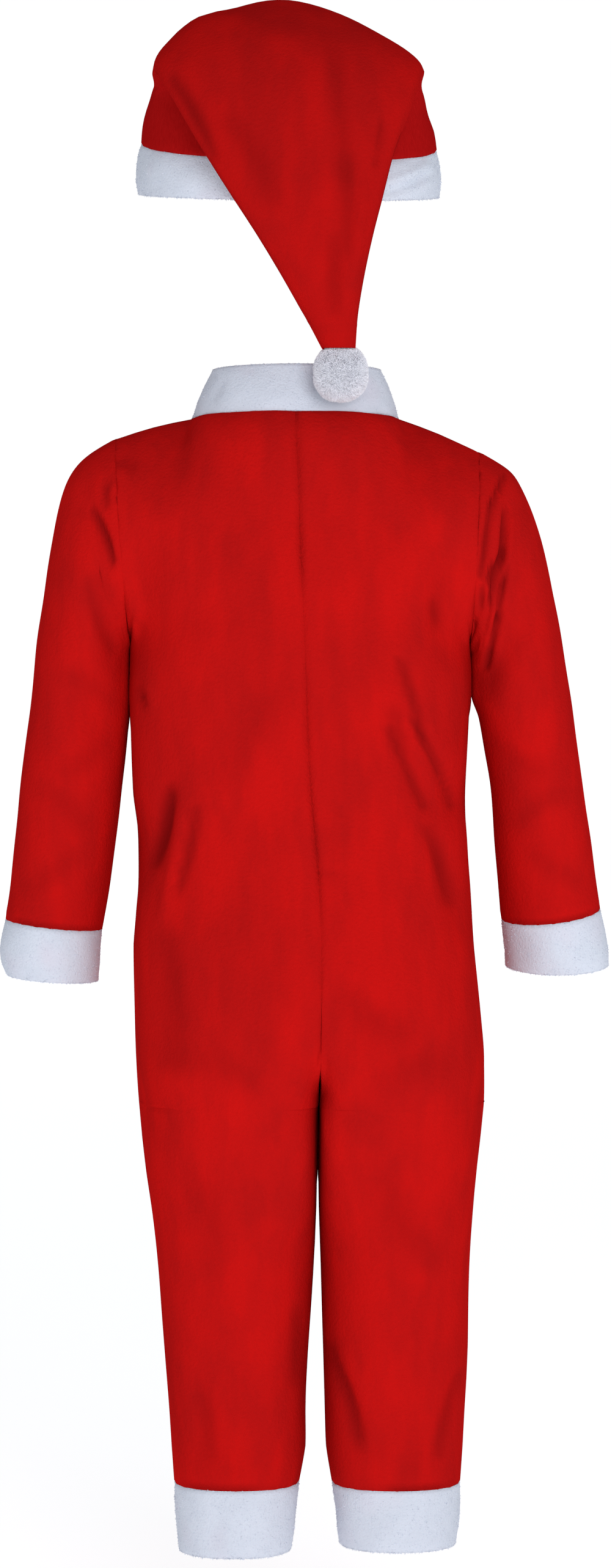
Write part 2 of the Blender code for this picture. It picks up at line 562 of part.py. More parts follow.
    def inward(self, u, z):
        """The direction through the cloth, from its outer skin to its inner one."""
        at_start, at_end = u < TINY, u > 1 - TINY
        if z > -TINY:
            return self.top_inward(u)
        if at_end and z >= self.underarm_z():
            angle = self.sleeve.armhole_angle(z) if z <= BLADE_Z else (
                self.sleeve.armhole_angle(BLADE_Z) * z / BLADE_Z)
            direction = self.sleeve.inward(0, angle)
            return Vector((direction.x, -direction.y * self.face, direction.z))
        if z < HEM_Z + TINY:
            return self.hem_inward(u)
        if at_start:
            turn = math.acos(seam_reach(z))
            return Vector((self.sign * math.sin(turn), -self.face * math.cos(turn), 0.0))
        inward = -self.normal(u, z)
        if at_end:
            inward.y = 0.0
        return inward.normalized()

    def top_inward(self, u):
        """The direction through the cloth along the neck and shoulder seams."""
        if u < self.neck_share - TINY:
            angle = math.pi / 2 * u / self.neck_share
            inward = neck_inward(angle if self.face == BACK else math.pi - angle)
            return Vector((-self.sign * inward.x, inward.y, 0.0))
        if u < self.neck_share + TINY:
            return Vector((-self.sign, 0.0, -1.0)).normalized()
        return Vector((0.0, 0.0, -1.0))

    def hem_inward(self, u):
        """The direction through the cloth along the hem, level."""
        inward = -self.normal(u, HEM_Z)
        inward.z = 0.0
        if u < TINY:
            return Vector((self.sign, 0.0, 0.0))
        if u > 1 - TINY:
            return Vector((-self.sign, 0.0, 0.0))
        return inward.normalized()

    def folded(self, u, z):
        """The outer skin with its folds, which fade out towards the seams."""
        point = self.skin(u, z)
        fade = math.sin(math.pi * min(max(u * 1.3, 0.0), 1.0) / 2) * min(1.0, (1 - u) * 6)
        if abs(point.x - BODY_VALUES["left_in"](z)) < 0.02 and z > FORK_Z:
            fade = min(1.0, 0.25 + u * 4)
        fade *= min(1.0, (z - HEM_Z) / 0.02) * min(1.0, -z / 0.02)
        lift = fold_height(TRUNK_FOLDS, self.face, point.x, point.z) * fade
        return point - self.inward(u, z) * lift if lift else point

    def lay(self, u, v, depth):
        """The panel's rule for cloth()."""
        z = pick(self.rows, v)
        return self.folded(u, z) + self.inward(u, z) * VELOUR * depth

    def build(self):
        """Cut and lay the panel."""
        name = ("back_" if self.face == BACK else "front_") + self.side
        return cloth(name, self.lay, HALF_COLUMNS, len(self.rows) - 1, RED)


def build_placket(panels):
    """The lapped strip over the centre-front opening, laid on both front panels' first columns."""
    left, right = panels[("left", FRONT)], panels[("right", FRONT)]
    rows = [z for z in left.rows if PLACKET_BOTTOM_Z <= z <= PLACKET_TOP_Z + TINY]

    def lay(u, v, depth):
        z = pick(rows, v)
        panel = left if u < 0.5 else right
        reach = abs(u - 0.5) * 2 * PLACKET_REACH
        seam, column = panel.folded(0.0, z), panel.folded(1 / HALF_COLUMNS, z)
        point = seam.lerp(column, reach)
        if abs(u - 0.5) < TINY:
            point.x = BODY_VALUES["left_in"](z)
        point.y += SEAM_GAP + VELOUR * (1 - depth)
        return point

    return cloth("front_placket", lay, 2, len(rows) - 1, RED)


# ------------------------------------------------------------------ sleeves, cuffs and collar
def build_sleeve(side, sleeve):
    """The red sleeve, from the armhole to the cuff's seam."""
    def lay(u, v, depth):
        place = SEAM_RING * v
        angle = 2 * math.pi * u
        point = sleeve.folded(place, angle) + sleeve.inward(place, angle) * VELOUR * depth
        if place < TINY:
            point.x += sleeve.sign * SEAM_GAP / 2
        return point

    return cloth("sleeve_" + side, lay, TUBE_COLUMNS, SLEEVE_ROWS, RED, tube=True)


def trim_depth(v, depth):
    """How far a point of the plush trim lies inside its outer outline; both its edges are round."""
    swell = min(1.0, 0.62 + 0.38 * math.sin(math.pi * v) ** 0.4)
    return PLUSH * (0.5 + (depth - 0.5) * swell) - PROUD


def build_arm_cuff(side, sleeve):
    """The white cuff that carries on from the sleeve's last ring."""
    last = len(SLEEVE_RINGS[side]) - 1

    def lay(u, v, depth):
        place = SEAM_RING + (last - SEAM_RING) * v
        angle = 2 * math.pi * u
        point = sleeve.point(place, angle) + sleeve.inward(place, angle) * trim_depth(v, depth)
        if v < TINY:
            point.z -= SEAM_GAP
        return point

    return cloth("cuff_" + side, lay, TUBE_COLUMNS, TRIM_ROWS, WHITE, tube=True)


def build_ankle_cuff(side):
    """A ring of trim below one leg, on the same outline as the leg's hem."""
    sign = -1 if side == "left" else 1

    def outline(angle, z):
        inner, outer = BODY_VALUES[side + "_in"](z), BODY_VALUES[side](z)
        middle, half_width = (inner + outer) / 2, abs(outer - inner) / 2
        depth = BODY_VALUES["back"](z) if math.sin(angle) > 0 else BODY_VALUES["front"](z)
        power = 2 / LEG_ROUND
        x = math.copysign(abs(math.cos(angle)) ** power, math.cos(angle))
        y = math.copysign(abs(math.sin(angle)) ** power, math.sin(angle))
        return Vector((middle + sign * half_width * x, -depth * y, z)), middle

    def lay(u, v, depth):
        z = HEM_Z - SEAM_GAP + (ANKLE_Z[side] - HEM_Z + SEAM_GAP) * v
        angle = 2 * math.pi * u
        point, middle = outline(angle, z)
        along = outline(angle + SLOPE_STEP, z)[0] - outline(angle - SLOPE_STEP, z)[0]
        inward = Vector((-along.y, along.x, 0.0)).normalized()
        if inward.dot(Vector((middle, 0.0, z)) - point) < 0:
            inward.negate()
        return point + inward * trim_depth(v, depth)

    return cloth("ankle_cuff_" + side, lay, TUBE_COLUMNS, TRIM_ROWS, WHITE, tube=True)


def collar_skin(u, v, depth):
    """The collar from its left end at the front, round the back, to its right end."""
    opening = COLLAR_OPENING / NECK_FRONT / 2
    angle = (math.pi - opening) * (1 - 2 * u)
    point = neck_point(angle, v)
    if v < TINY:
        point = neck_seam(angle)
        point.z += SEAM_GAP / 2
    return point + neck_inward(angle) * (trim_depth(v, depth) + PROUD)


def build_collar():
    """The stand-up collar."""
    return cloth("collar", collar_skin, COLLAR_COLUMNS, TRIM_ROWS, WHITE)


# ------------------------------------------------------------------ hat
def build_band():
    """The brim: a tilted ring of trim round the head."""
    middle_x, middle_y = BAND_MIDDLE
    top = CONE_RINGS[0]
    top_half_width = (top.right - top.left) / 2
    top_half_depth = (top.over_y - top.under_y) / 2
    top_tilt = (top.over_z - top.under_z) / (top.over_y - top.under_y)

    def lay(u, v, depth):
        angle = 2 * math.pi * u
        half_width = BAND_HALF_WIDTH + (top_half_width - BAND_HALF_WIDTH) * v
        half_depth = BAND_HALF_DEPTH + (top_half_depth - BAND_HALF_DEPTH) * v
        bulge = BAND_BULGE * math.sin(math.pi * v)
        power = 2 / BAND_ROUND
        x = math.copysign(abs(math.cos(angle)) ** power, math.cos(angle))
        y = math.copysign(abs(math.sin(angle)) ** power, math.sin(angle))
        reach = bulge - trim_depth(v, depth)
        away = Vector((x / half_width, y / half_depth, 0.0)).normalized() * reach
        at = Vector((middle_x + half_width * x, middle_y + half_depth * y, 0.0)) + away
        side_z = BAND_BOTTOM_Z + (top.side_z - SEAM_GAP - BAND_BOTTOM_Z) * v
        tilt = BRIM_TILT + (top_tilt - BRIM_TILT) * v
        at.z = side_z + (at.y - middle_y) * tilt + (at.x - middle_x) * BRIM_ROLL * (1 + v)
        return at

    return cloth("hat_band", lay, BAND_COLUMNS, TRIM_ROWS, WHITE, tube=True)


class ConePanel:
    """The front or the back panel of the hat's cone, which folds over and hangs as the tail."""

    def __init__(self, front):
        self.front = front
        self.columns = {name: smooth_column(rows=CONE_RINGS, along=CONE_RINGS.index, column=name)
                        for name in Cone._fields}

    def outline(self, t, place):
        """A point of the ring at a place counted in rows of the table; t runs left to right."""
        ring = Cone(*(self.columns[name](place) for name in Cone._fields))
        side = Vector((0.0, ring.side_y, ring.side_z))
        if self.front:
            bulge = Vector((0.0, ring.over_y, ring.over_z)) - side
            exponent = ring.round_left if t < 0.5 else ring.round_right
        else:
            bulge = Vector((0.0, ring.under_y, ring.under_z)) - side
            exponent = UNDER_ROUND
        x = ring.left + (ring.right - ring.left) * t
        roll = (x - BAND_MIDDLE[0]) * BRIM_ROLL * 2 * max(0.0, 1 - place / BRIM_RINGS)
        return Vector((x, side.y, side.z + roll)) + bulge * arch(t, exponent), bulge.normalized()

    def lay(self, u, v, depth):
        """The panel's rule for cloth()."""
        place = v * (len(CONE_RINGS) - 1)
        t = (1 - math.cos(math.pi * u)) / 2
        point, bulge = self.outline(t, place)
        before = self.outline(max(t - SLOPE_STEP, 0.0), place)[0]
        after = self.outline(min(t + SLOPE_STEP, 1.0), place)[0]
        along = (after - before).normalized()
        inward = -(bulge - along * bulge.dot(along)).normalized()
        if not self.front:
            down = self.outline(t, place + RING_STEP)[0] - self.outline(t, place - RING_STEP)[0]
            share = ease(place, *FOLD_START) - ease(place, *FOLD_END)
            inward = inward.lerp(down.cross(along).normalized(), share).normalized()
        if u < TINY or u > 1 - TINY:
            inward = Vector((1.0 if u < 0.5 else -1.0, 0.0, 0.0))
        elif not self.front:
            depth -= ease(place, *SINK_START) - ease(place, *SINK_END)
        hangs = self.front and place > TAIL_RING
        lift = fold_height(HAT_FOLDS, BACK, point.x, point.z) if hangs else 0.0
        lift *= min(1.0, u * 5, (1 - u) * 5)
        return point + bulge * SEAM_GAP / 2 + inward * (VELOUR * depth - lift)

    def build(self):
        """Cut and lay the panel."""
        return cloth("hat_front" if self.front else "hat_back", self.lay, CONE_COLUMNS, CONE_ROWS,
                     RED)


# ------------------------------------------------------------------ pompom
def pompom_seat():
    """The pompom's middle, set back so that its locks lie a seam gap clear of the collar."""
    y = 0.0
    radius = POMPOM_RADIUS + SEAM_GAP
    for i in range(81):
        for j in range(11):
            point = collar_skin(0.3 + 0.4 * i / 80, j / 10, 0.0)
            flat = radius ** 2 - (point.x - POMPOM_X) ** 2 - (point.z - POMPOM_Z) ** 2
            if flat > 0:
                y = min(y, point.y - math.sqrt(flat))
    return Vector((POMPOM_X, y, POMPOM_Z))


def build_pompom():
    """A ball of short four-sided locks, each pulled out of its own square of the ball's core."""
    bm = bmesh.new()
    bmesh.ops.create_cube(bm, size=2.0)
    bmesh.ops.subdivide_edges(bm, edges=bm.edges[:], cuts=POMPOM_CUTS, use_grid_fill=True)
    for vertex in bm.verts:
        even = Vector([math.tan(value * math.pi / 4) for value in vertex.co])
        vertex.co = even.normalized() * POMPOM_CORE
    locks = bmesh.ops.extrude_discrete_faces(bm, faces=bm.faces[:])["faces"]
    for number, face in enumerate(locks):
        middle = face.calc_center_median()
        length = POMPOM_RADIUS - LOCK_UNEVEN * ((number * 7) % 5) / 4
        for vertex in face.verts:
            spread = (vertex.co - middle) * LOCK_TAPER + middle
            vertex.co = spread.normalized() * length
    bmesh.ops.translate(bm, verts=bm.verts, vec=pompom_seat())
    return finish("pompom", bm, WHITE)


# ------------------------------------------------------------------ the whole suit
def main():
    """Build every piece of the suit and of its hat."""
    for thing in list(bpy.data.objects):
        bpy.data.objects.remove(thing)
    panels = {}
    for side in ("left", "right"):
        sleeve = Sleeve(side)
        for face in (BACK, FRONT):
            panels[(side, face)] = BodyPanel(side, face, sleeve)
            panels[(side, face)].build()
        build_sleeve(side, sleeve)
        build_arm_cuff(side, sleeve)
        build_ankle_cuff(side)
    build_placket(panels)
    build_collar()
    build_band()
    ConePanel(front=True).build()
    ConePanel(front=False).build()
    build_pompom()


main()
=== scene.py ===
"""Looks of a toddler's santa suit: velour jumpsuit, fleece trim and a stocking hat with its pompom.

The suit is worn and hollow.  Its back faces -Y, the wearer's left side lies at -X, and every size
is in metres.  Each piece of cloth is a thin shell on the form of its own solid, with creases, seams
and nap; the trim and the pompom carry a pile of single strands.
"""

from __future__ import annotations

import logging
import math
from collections.abc import Iterable, Iterator
from dataclasses import dataclass
from enum import Enum

import bmesh
import bpy
import numpy as np
from mathutils import Matrix, Vector, kdtree, noise
from mathutils.bvhtree import BVHTree

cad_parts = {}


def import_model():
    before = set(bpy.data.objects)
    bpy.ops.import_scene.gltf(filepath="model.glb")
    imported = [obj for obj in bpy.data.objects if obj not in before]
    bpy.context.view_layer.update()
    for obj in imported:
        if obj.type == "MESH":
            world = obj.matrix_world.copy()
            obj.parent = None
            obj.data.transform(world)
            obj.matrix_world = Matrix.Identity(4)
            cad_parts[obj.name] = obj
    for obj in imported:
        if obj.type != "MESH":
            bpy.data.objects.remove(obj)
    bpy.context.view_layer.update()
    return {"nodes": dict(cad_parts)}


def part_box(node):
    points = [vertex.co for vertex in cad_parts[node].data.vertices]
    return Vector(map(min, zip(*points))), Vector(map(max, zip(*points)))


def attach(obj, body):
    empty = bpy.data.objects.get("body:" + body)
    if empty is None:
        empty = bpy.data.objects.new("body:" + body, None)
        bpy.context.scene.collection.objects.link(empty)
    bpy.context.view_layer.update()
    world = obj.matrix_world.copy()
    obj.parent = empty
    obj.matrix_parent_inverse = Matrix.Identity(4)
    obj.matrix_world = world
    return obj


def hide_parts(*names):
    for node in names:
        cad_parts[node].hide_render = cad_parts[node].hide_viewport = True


LOG = logging.getLogger("santa_suit")
BODY = "root"                    # the suit has no joint, so it is one body
MILLIMETRE = 0.001
NO_LENGTH = 1e-14                # a direction shorter than this is none
SEAM_MARKS = 4                   # points on each edge from which distances to a seam are taken

Colour = tuple[float, float, float]
Triple = tuple[float, float, float]
Pair = tuple[float, float]
Solids = dict[str, bpy.types.Object]
WHITE = (1.0, 1.0, 1.0)


class Surface(Enum):
    """What a face of a cloth belongs to; the value is its material's place on the piece."""

    OUTSIDE = 0
    REVERSE = 1
    EDGE = 2


class Side(Enum):
    """The side of the suit that a crease lies on; the value is the sign of its Y direction."""

    BACK = -1
    AROUND = 0
    FRONT = 1


# ---------------------------------------- shader maths
class Value:
    """A number that varies over a surface; operators add the Math nodes that work it out."""

    def __init__(self, paint: Paint, socket: bpy.types.NodeSocket) -> None:
        """Wrap an output socket of one of the paint's nodes."""
        self.paint = paint
        self.socket = socket

    def maths(self, operation: str, *values: Value | float, clamp: bool = False) -> Value:
        """Join values in a Math node.

        Args:
            operation: The Math node's operation.
            values: What goes into the node's sockets, in order.
            clamp: Whether the result is held between 0 and 1.

        Returns:
            The node's result.
        """
        node = self.paint.node("ShaderNodeMath", {"operation": operation, "use_clamp": clamp},
                               dict(enumerate(values)))
        return Value(self.paint, node.outputs[0])

    def __add__(self, other: Value | float) -> Value:
        """Give self + other."""
        return self.maths("ADD", self, other)

    __radd__ = __add__

    def __sub__(self, other: Value | float) -> Value:
        """Give self - other."""
        return self.maths("SUBTRACT", self, other)

    def __rsub__(self, other: Value | float) -> Value:
        """Give other - self."""
        return self.maths("SUBTRACT", other, self)

    def __mul__(self, other: Value | float) -> Value:
        """Give self * other."""
        return self.maths("MULTIPLY", self, other)

    __rmul__ = __mul__

    def over(self, low: float, high: float) -> Value:
        """Give 0 at low and below, 1 at high and above, and a straight run between."""
        return self.maths("MULTIPLY", self - low, 1.0 / (high - low), clamp=True)


class Paint:
    """The node tree of one cloth's material."""

    roughness = 0.95
    sheen_spread = 0.5
    mix_colours = (6, 7)         # the Mix node has sockets of one name for each type it can mix
    mixed_colour = 2

    def __init__(self, name: str, sheen: float = 0.0, sheen_tint: Colour = WHITE) -> None:
        """Start a material whose constant numbers stand on its shader's own sockets.

        Args:
            name: The material's name.
            sheen: How strongly its nap catches light at a glancing angle.
            sheen_tint: The sheen's colour.
        """
        self.material = bpy.data.materials.new(name)
        self.material.use_nodes = True
        self.tree = self.material.node_tree
        self.shader = self.tree.nodes["Principled BSDF"]
        self.put(self.shader, {"Roughness": self.roughness, "Sheen Weight": sheen,
                               "Sheen Roughness": self.sheen_spread,
                               "Sheen Tint": (*sheen_tint, 1.0), "Specular IOR Level": 0.0})
        self.place = self.node("ShaderNodeTexCoord").outputs["Object"]

    def put(self, node: bpy.types.Node, values: dict) -> None:
        """Set or link a node's input sockets.

        Args:
            node: The node.
            values: Socket names or numbers, each with a number, a colour, a Value or a socket.
        """
        for key, value in values.items():
            if isinstance(value, Value):
                value = value.socket
            if isinstance(value, bpy.types.NodeSocket):
                self.tree.links.new(value, node.inputs[key])
            else:
                node.inputs[key].default_value = value

    def node(self, kind: str, settings: dict | None = None,
             values: dict | None = None) -> bpy.types.Node:
        """Add a node, set it up and fill its sockets.

        Args:
            kind: The node's type.
            settings: Its own settings, set before its sockets.
            values: What goes into its sockets.

        Returns:
            The node.
        """
        node = self.tree.nodes.new(kind)
        for key, value in (settings or {}).items():
            setattr(node, key, value)
        self.put(node, values or {})
        return node

    def speckle(self, size: float, detail: float = 2.0, scale: Triple = (1.0, 1.0, 1.0)) -> Value:
        """Give a soft random pattern.

        Args:
            size: The width of its blots.
            detail: How many finer layers it has.
            scale: How its coordinates are drawn out along each axis.

        Returns:
            A value about 0.5.
        """
        mapping = self.node("ShaderNodeMapping", {}, {"Vector": self.place, "Scale": scale})
        node = self.node("ShaderNodeTexNoise", {"noise_dimensions": "3D"},
                         {"Vector": mapping.outputs["Vector"], "Scale": 1.0 / size,
                          "Detail": detail})
        return Value(self, node.outputs[0])

    def attribute(self, name: str) -> Value:
        """Give a number that is kept on the mesh."""
        node = self.node("ShaderNodeAttribute", {"attribute_name": name})
        return Value(self, node.outputs["Fac"])

    def blend(self, share: Value, start: Colour | bpy.types.NodeSocket,
              end: Colour | bpy.types.NodeSocket) -> bpy.types.NodeSocket:
        """Mix two colours.

        Args:
            share: 0 where the first colour shows, 1 where the second does.
            start: The first colour.
            end: The second colour.

        Returns:
            The mixed colour's socket.
        """
        colours = (colour if isinstance(colour, bpy.types.NodeSocket) else (*colour, 1.0)
                   for colour in (start, end))
        node = self.node("ShaderNodeMix", {"data_type": "RGBA"},
                         {"Factor": share, **dict(zip(self.mix_colours, colours))})
        return node.outputs[self.mixed_colour]

    def finish(self, colour: bpy.types.NodeSocket, relief: Value | None = None,
               depth: float = 0.0) -> bpy.types.Material:
        """Give the shader its colour and relief.

        Args:
            colour: The base colour.
            relief: The height of the surface, about 0 to 1.
            depth: The real depth of that relief.

        Returns:
            The finished material.
        """
        self.put(self.shader, {"Base Color": colour})
        if relief is not None:
            bump = self.node("ShaderNodeBump", {}, {"Height": relief, "Distance": depth,
                                                    "Strength": 1.0})
            self.put(self.shader, {"Normal": bump.outputs["Normal"]})
        return self.material


# ---------------------------------------- finishes
@dataclass(frozen=True)
class Velour:
    """Red velour: a short soft nap whose lie makes darker and lighter patches."""

    name: str = "velour"
    slot: str = "red_velour"
    light: Colour = (0.545, 0.0062, 0.0056)
    shade: Colour = (0.340, 0.0058, 0.0060)
    # the colour of the painted shade in creases and beside seams
    deep: Colour = (0.070, 0.0015, 0.0020)
    reverse: Colour = (0.320, 0.0040, 0.0045)
    sheen: float = 0.02
    sheen_tint: Colour = (1.0, 0.05, 0.04)
    patch: float = 0.030         # width of the patches
    patch_edge: Pair = (0.40, 0.60)       # how softly they end: the noise that is 0 and 1
    patch_run: Triple = (1.0, 1.0, 0.55)  # patches and streaks are drawn out down the cloth
    streak: float = 0.011        # width of the finer brushed streaks
    streak_edge: Pair = (0.38, 0.62)
    streak_run: Triple = (1.0, 1.0, 0.30)
    nap: float = 0.0016          # width of a tuft of nap
    nap_depth: float = 0.00040
    coarse: Pair = (3.0, 0.35)   # coarser tufts: how much wider, and their share of the relief
    lie: tuple[float, ...] = (0.32, 0.27, 0.21, 0.30)  # base, then shares of patch, streak and nap
    shade_in_hollows: float = 0.9      # how far painted shade darkens the cloth in creases and beside seams
    shadow_colour_in_hollows: float = 0.46    # how far that painted shade takes on the deep colour
    knit: float = 0.0012         # width of the reverse's stitches
    knit_run: Triple = (1.0, 1.0, 0.35)
    knit_lie: Pair = (0.35, 0.65)         # base, then the stitches' share
    knit_depth: float = 0.00025

    def outside(self) -> bpy.types.Material:
        """Give the material of the right side of the cloth.

        Returns:
            The material.
        """
        paint = Paint(self.name, self.sheen, self.sheen_tint)
        patches = paint.speckle(self.patch, 3.0, self.patch_run).over(*self.patch_edge)
        streaks = paint.speckle(self.streak, 2.0, self.streak_run).over(*self.streak_edge)
        nap = paint.speckle(self.nap)
        # painted shade: the hollow attribute darkens the cloth in creases and beside seams, towards
        # the shade colour and then the deep colour
        hollow = paint.attribute("hollow")
        base, patchy, streaky, tufty = self.lie
        lie = base + patchy * patches + streaky * streaks + tufty * (nap - 0.5)
        colour = paint.blend(lie * (1.0 - self.shade_in_hollows * hollow), self.shade, self.light)
        colour = paint.blend(self.shadow_colour_in_hollows * hollow, colour, self.deep)
        wider, share = self.coarse
        relief = nap + share * paint.speckle(self.nap * wider, 1.0)
        return paint.finish(colour, relief, self.nap_depth)

    def inside(self) -> bpy.types.Material:
        """Give the material of the cloth's reverse, a plain matt knit.

        Returns:
            The material.
        """
        paint = Paint(self.name + "_reverse")
        knit = paint.speckle(self.knit, 1.0, self.knit_run)
        base, knitted = self.knit_lie
        colour = paint.blend(base + knitted * knit, self.shade, self.reverse)
        return paint.finish(colour, knit, self.knit_depth)


@dataclass(frozen=True)
class Fleece:
    """White brushed fleece, cool in its tone, with faint rosy blots here and there."""

    name: str = "fleece"
    slot: str = "white_plush"
    light: Colour = (0.640, 0.680, 0.773)
    shade: Colour = (0.594, 0.634, 0.725)
    blush: Colour = (0.676, 0.612, 0.714)
    sheen: float = 0.05
    patch: float = 0.012
    patch_edge: Pair = (0.35, 0.62)
    nap: float = 0.0011
    nap_depth: float = 0.00035
    lie: Triple = (0.35, 0.55, 0.30)        # base, then shares of patch and nap
    blot: float = 0.028          # width of the rosy blots
    blot_edge: Pair = (0.58, 0.78)
    rosy: float = 0.35           # how rosy they are
    strand_patch_edge: Pair = (0.33, 0.62)
    strand_lie: Triple = (0.35, 0.45, 0.20)  # base, then shares of patch and of each strand's random tone with its painted root shade
    strand_rosy: float = 0.25

    def outside(self) -> bpy.types.Material:
        """Give the material of the cloth under its pile.

        Returns:
            The material.
        """
        paint = Paint(self.name, self.sheen)
        patches = paint.speckle(self.patch, 3.0).over(*self.patch_edge)
        nap = paint.speckle(self.nap)
        rosy = paint.speckle(self.blot, 1.0).over(*self.blot_edge) * self.rosy
        base, patchy, tufty = self.lie
        lie = base + patchy * patches + tufty * (nap - 0.5)
        colour = paint.blend(lie, self.shade, self.light)
        return paint.finish(paint.blend(rosy, colour, self.blush), nap, self.nap_depth)

    def strands(self) -> bpy.types.Material:
        """Give the material of the pile's strands.

        Returns:
            The material.
        """
        paint = Paint(self.name + "_pile", self.sheen)
        patches = paint.speckle(self.patch).over(*self.strand_patch_edge)
        # painted shade: each strand is darkened towards its root, times a random tone of its own
        tint = paint.attribute("tint")
        rosy = paint.speckle(self.blot, 1.0).over(*self.blot_edge) * self.strand_rosy
        base, patchy, single = self.strand_lie
        colour = paint.blend(base + patchy * patches + single * tint, self.shade, self.light)
        return paint.finish(paint.blend(rosy, colour, self.blush))


# ---------------------------------------- creases
@dataclass(frozen=True)
class Crease:
    """A soft trough (height below 0) or ridge along a gently bowed line on one side of the suit."""

    side: Side
    x0: float
    z0: float
    x1: float
    z1: float
    width: float
    height: float
    bow: float = 0.0

    fade = 2.0                   # how soon it fades where the cloth turns away from its side
    end_depth = 0.45             # share of its depth that is left at its ends
    wave = (0.15, 0.70)          # where on a half wave its depth starts, and how far it follows it
    rim = 0.55                   # how high the cloth stands up beside it
    press = 1.5                  # how much deeper than its height it is pressed

    def lift(self, points: np.ndarray, facing: np.ndarray) -> np.ndarray:
        """Give how far the crease lifts the cloth at each point.

        Args:
            points: The points, one a row.
            facing: The Y part of the cloth's outward direction at each of them.

        Returns:
            The lift of each point.
        """
        run = np.array([self.x1 - self.x0, self.z1 - self.z0])
        length = float(np.hypot(*run))
        run = run / length
        start = points[:, (0, 2)] - np.array([self.x0, self.z0])
        along = start @ run / length
        held = along.clip(0.0, 1.0)
        across = start @ np.array([-run[1], run[0]]) - self.bow * (1.0 - (2.0 * held - 1.0) ** 2)
        past = (along - held) * length
        away = (across ** 2 + past ** 2) / self.width ** 2
        turned = (facing * self.side.value * self.fade).clip(0.0, 1.0) if self.side.value else 1.0
        first, span = self.wave
        taper = self.end_depth + (1.0 - self.end_depth) * np.sin(np.pi * (first + span * held))
        return self.press * self.height * (1.0 - self.rim * away) * np.exp(-away) * turned * taper


def folds(side: Side, *rows: tuple[float, ...]) -> tuple[Crease, ...]:
    """Give one side's creases from rows of x0, z0, x1, z1, width, height, bow in millimetres."""
    return tuple(Crease(side, *(value * MILLIMETRE for value in row)) for row in rows)


BODY_CREASES = folds(
    Side.BACK,
    # left armhole, waist and hip
    (-94, -26.7, -85.5, -29, 5, -0.8, 1),
    (-81.8, -147.5, -78.2, -153.5, 3, -1.3),
    (-77.5, -145.5, -74.2, -154.5, 3.4, 0.8),
    (-64.9, -200.8, -73.4, -235.3, 4.6, -2.2, 1),
    (-59.2, -212.5, -69.1, -264.2, 3.4, 1.1, 1),
    (-51.9, -210.9, -60.4, -249.9, 4.2, -1.1, 1),
    (-65.5, -278, -64, -338, 9, -0.7, 2),
    (-10, -150, -35, -190, 12, -0.3, -3),
    # drag lines from the right armhole towards the waist
    (72.7, -102.5, 74, -112, 4.2, -1),
    (54.5, -132.9, 66.7, -173.2, 3.6, -1, 1),
    (50.8, -159.5, 56.9, -175.4, 6.4, -0.7, 1),
    (48.9, -167.8, 66.4, -206.5, 3.4, -1.1),
    (61.9, -164.8, 82.2, -206.5, 3.6, -1.2, 1),
    (57.5, -164, 74.5, -208, 3.4, 0.7, 1),
    (69.2, -221, 80.6, -255.6, 6, -1.2, 1),
    (64, -224, 74, -260, 5, 0.8, 1),
    (13.1, -243.2, 26.1, -243.8, 2.6, -0.4),
    # seat and thighs
    (-15, -299, 5, -315, 15, 0.8),
    (30, -308, 56, -324, 10, -0.4, -2),
    (-24, -348, -56, -339, 11, -0.4, -3),
    (45, -350, 74, -340, 11, -0.4, 3),
    (-54, -400, -42, -444, 11, -0.4, 4),
    (48, -405, 70, -440, 11, -0.4, -4),
    # ankles
    (17.5, -493.7, 33.4, -539.6, 5.6, -1.4, 2),
    (25, -496, 40, -536, 5, 0.8, 2),
    (86, -507.9, 75.6, -546.6, 4.6, -0.9, -1),
    (1.7, -474.3, 1.2, -507.9, 5.6, -0.7, 1),
    (-48.7, -516.5, -45.2, -548.2, 6, -0.7, 1),
) + folds(
    Side.FRONT,
    # the same kinds of creases on the hidden side
    (-82, -86, -76, -118, 4.6, -1.4, -2),
    (84, -84, 78, -120, 4.6, -1.4, 2),
    (-56, -172, -76, -212, 4.4, -2, 2),
    (-50, -176, -69, -220, 4, 0.8, 2),
    (-42, -206, -66, -242, 4.6, -1.3, 2),
    (50, -166, 78, -203, 4.4, -1.8, -2),
    (42, -210, 74, -244, 5, -1.3, -3),
    (30, -56, 56, -84, 7, -0.9, 3),
    (-28, -60, -52, -86, 7, -0.9, -3),
    (-10, -312, -48, -328, 7, -1.2, 2),
    (28, -310, 62, -328, 7, -1.2, -2),
    (-30, -350, -64, -342, 8, -1, 2),
    (48, -352, 82, -344, 8, -1, -2),
    (-58, -405, -34, -448, 9, -0.9, 3),
    (42, -410, 70, -455, 9, -0.9, -3),
    (-14, -480, -40, -505, 6, -1.1, 2),
    (36, -485, 64, -512, 6, -1.1, -2),
    (-48, -525, -28, -555, 5.6, -1.4, 2),
    (42, -525, 66, -552, 5.6, -1.4, -2),
)
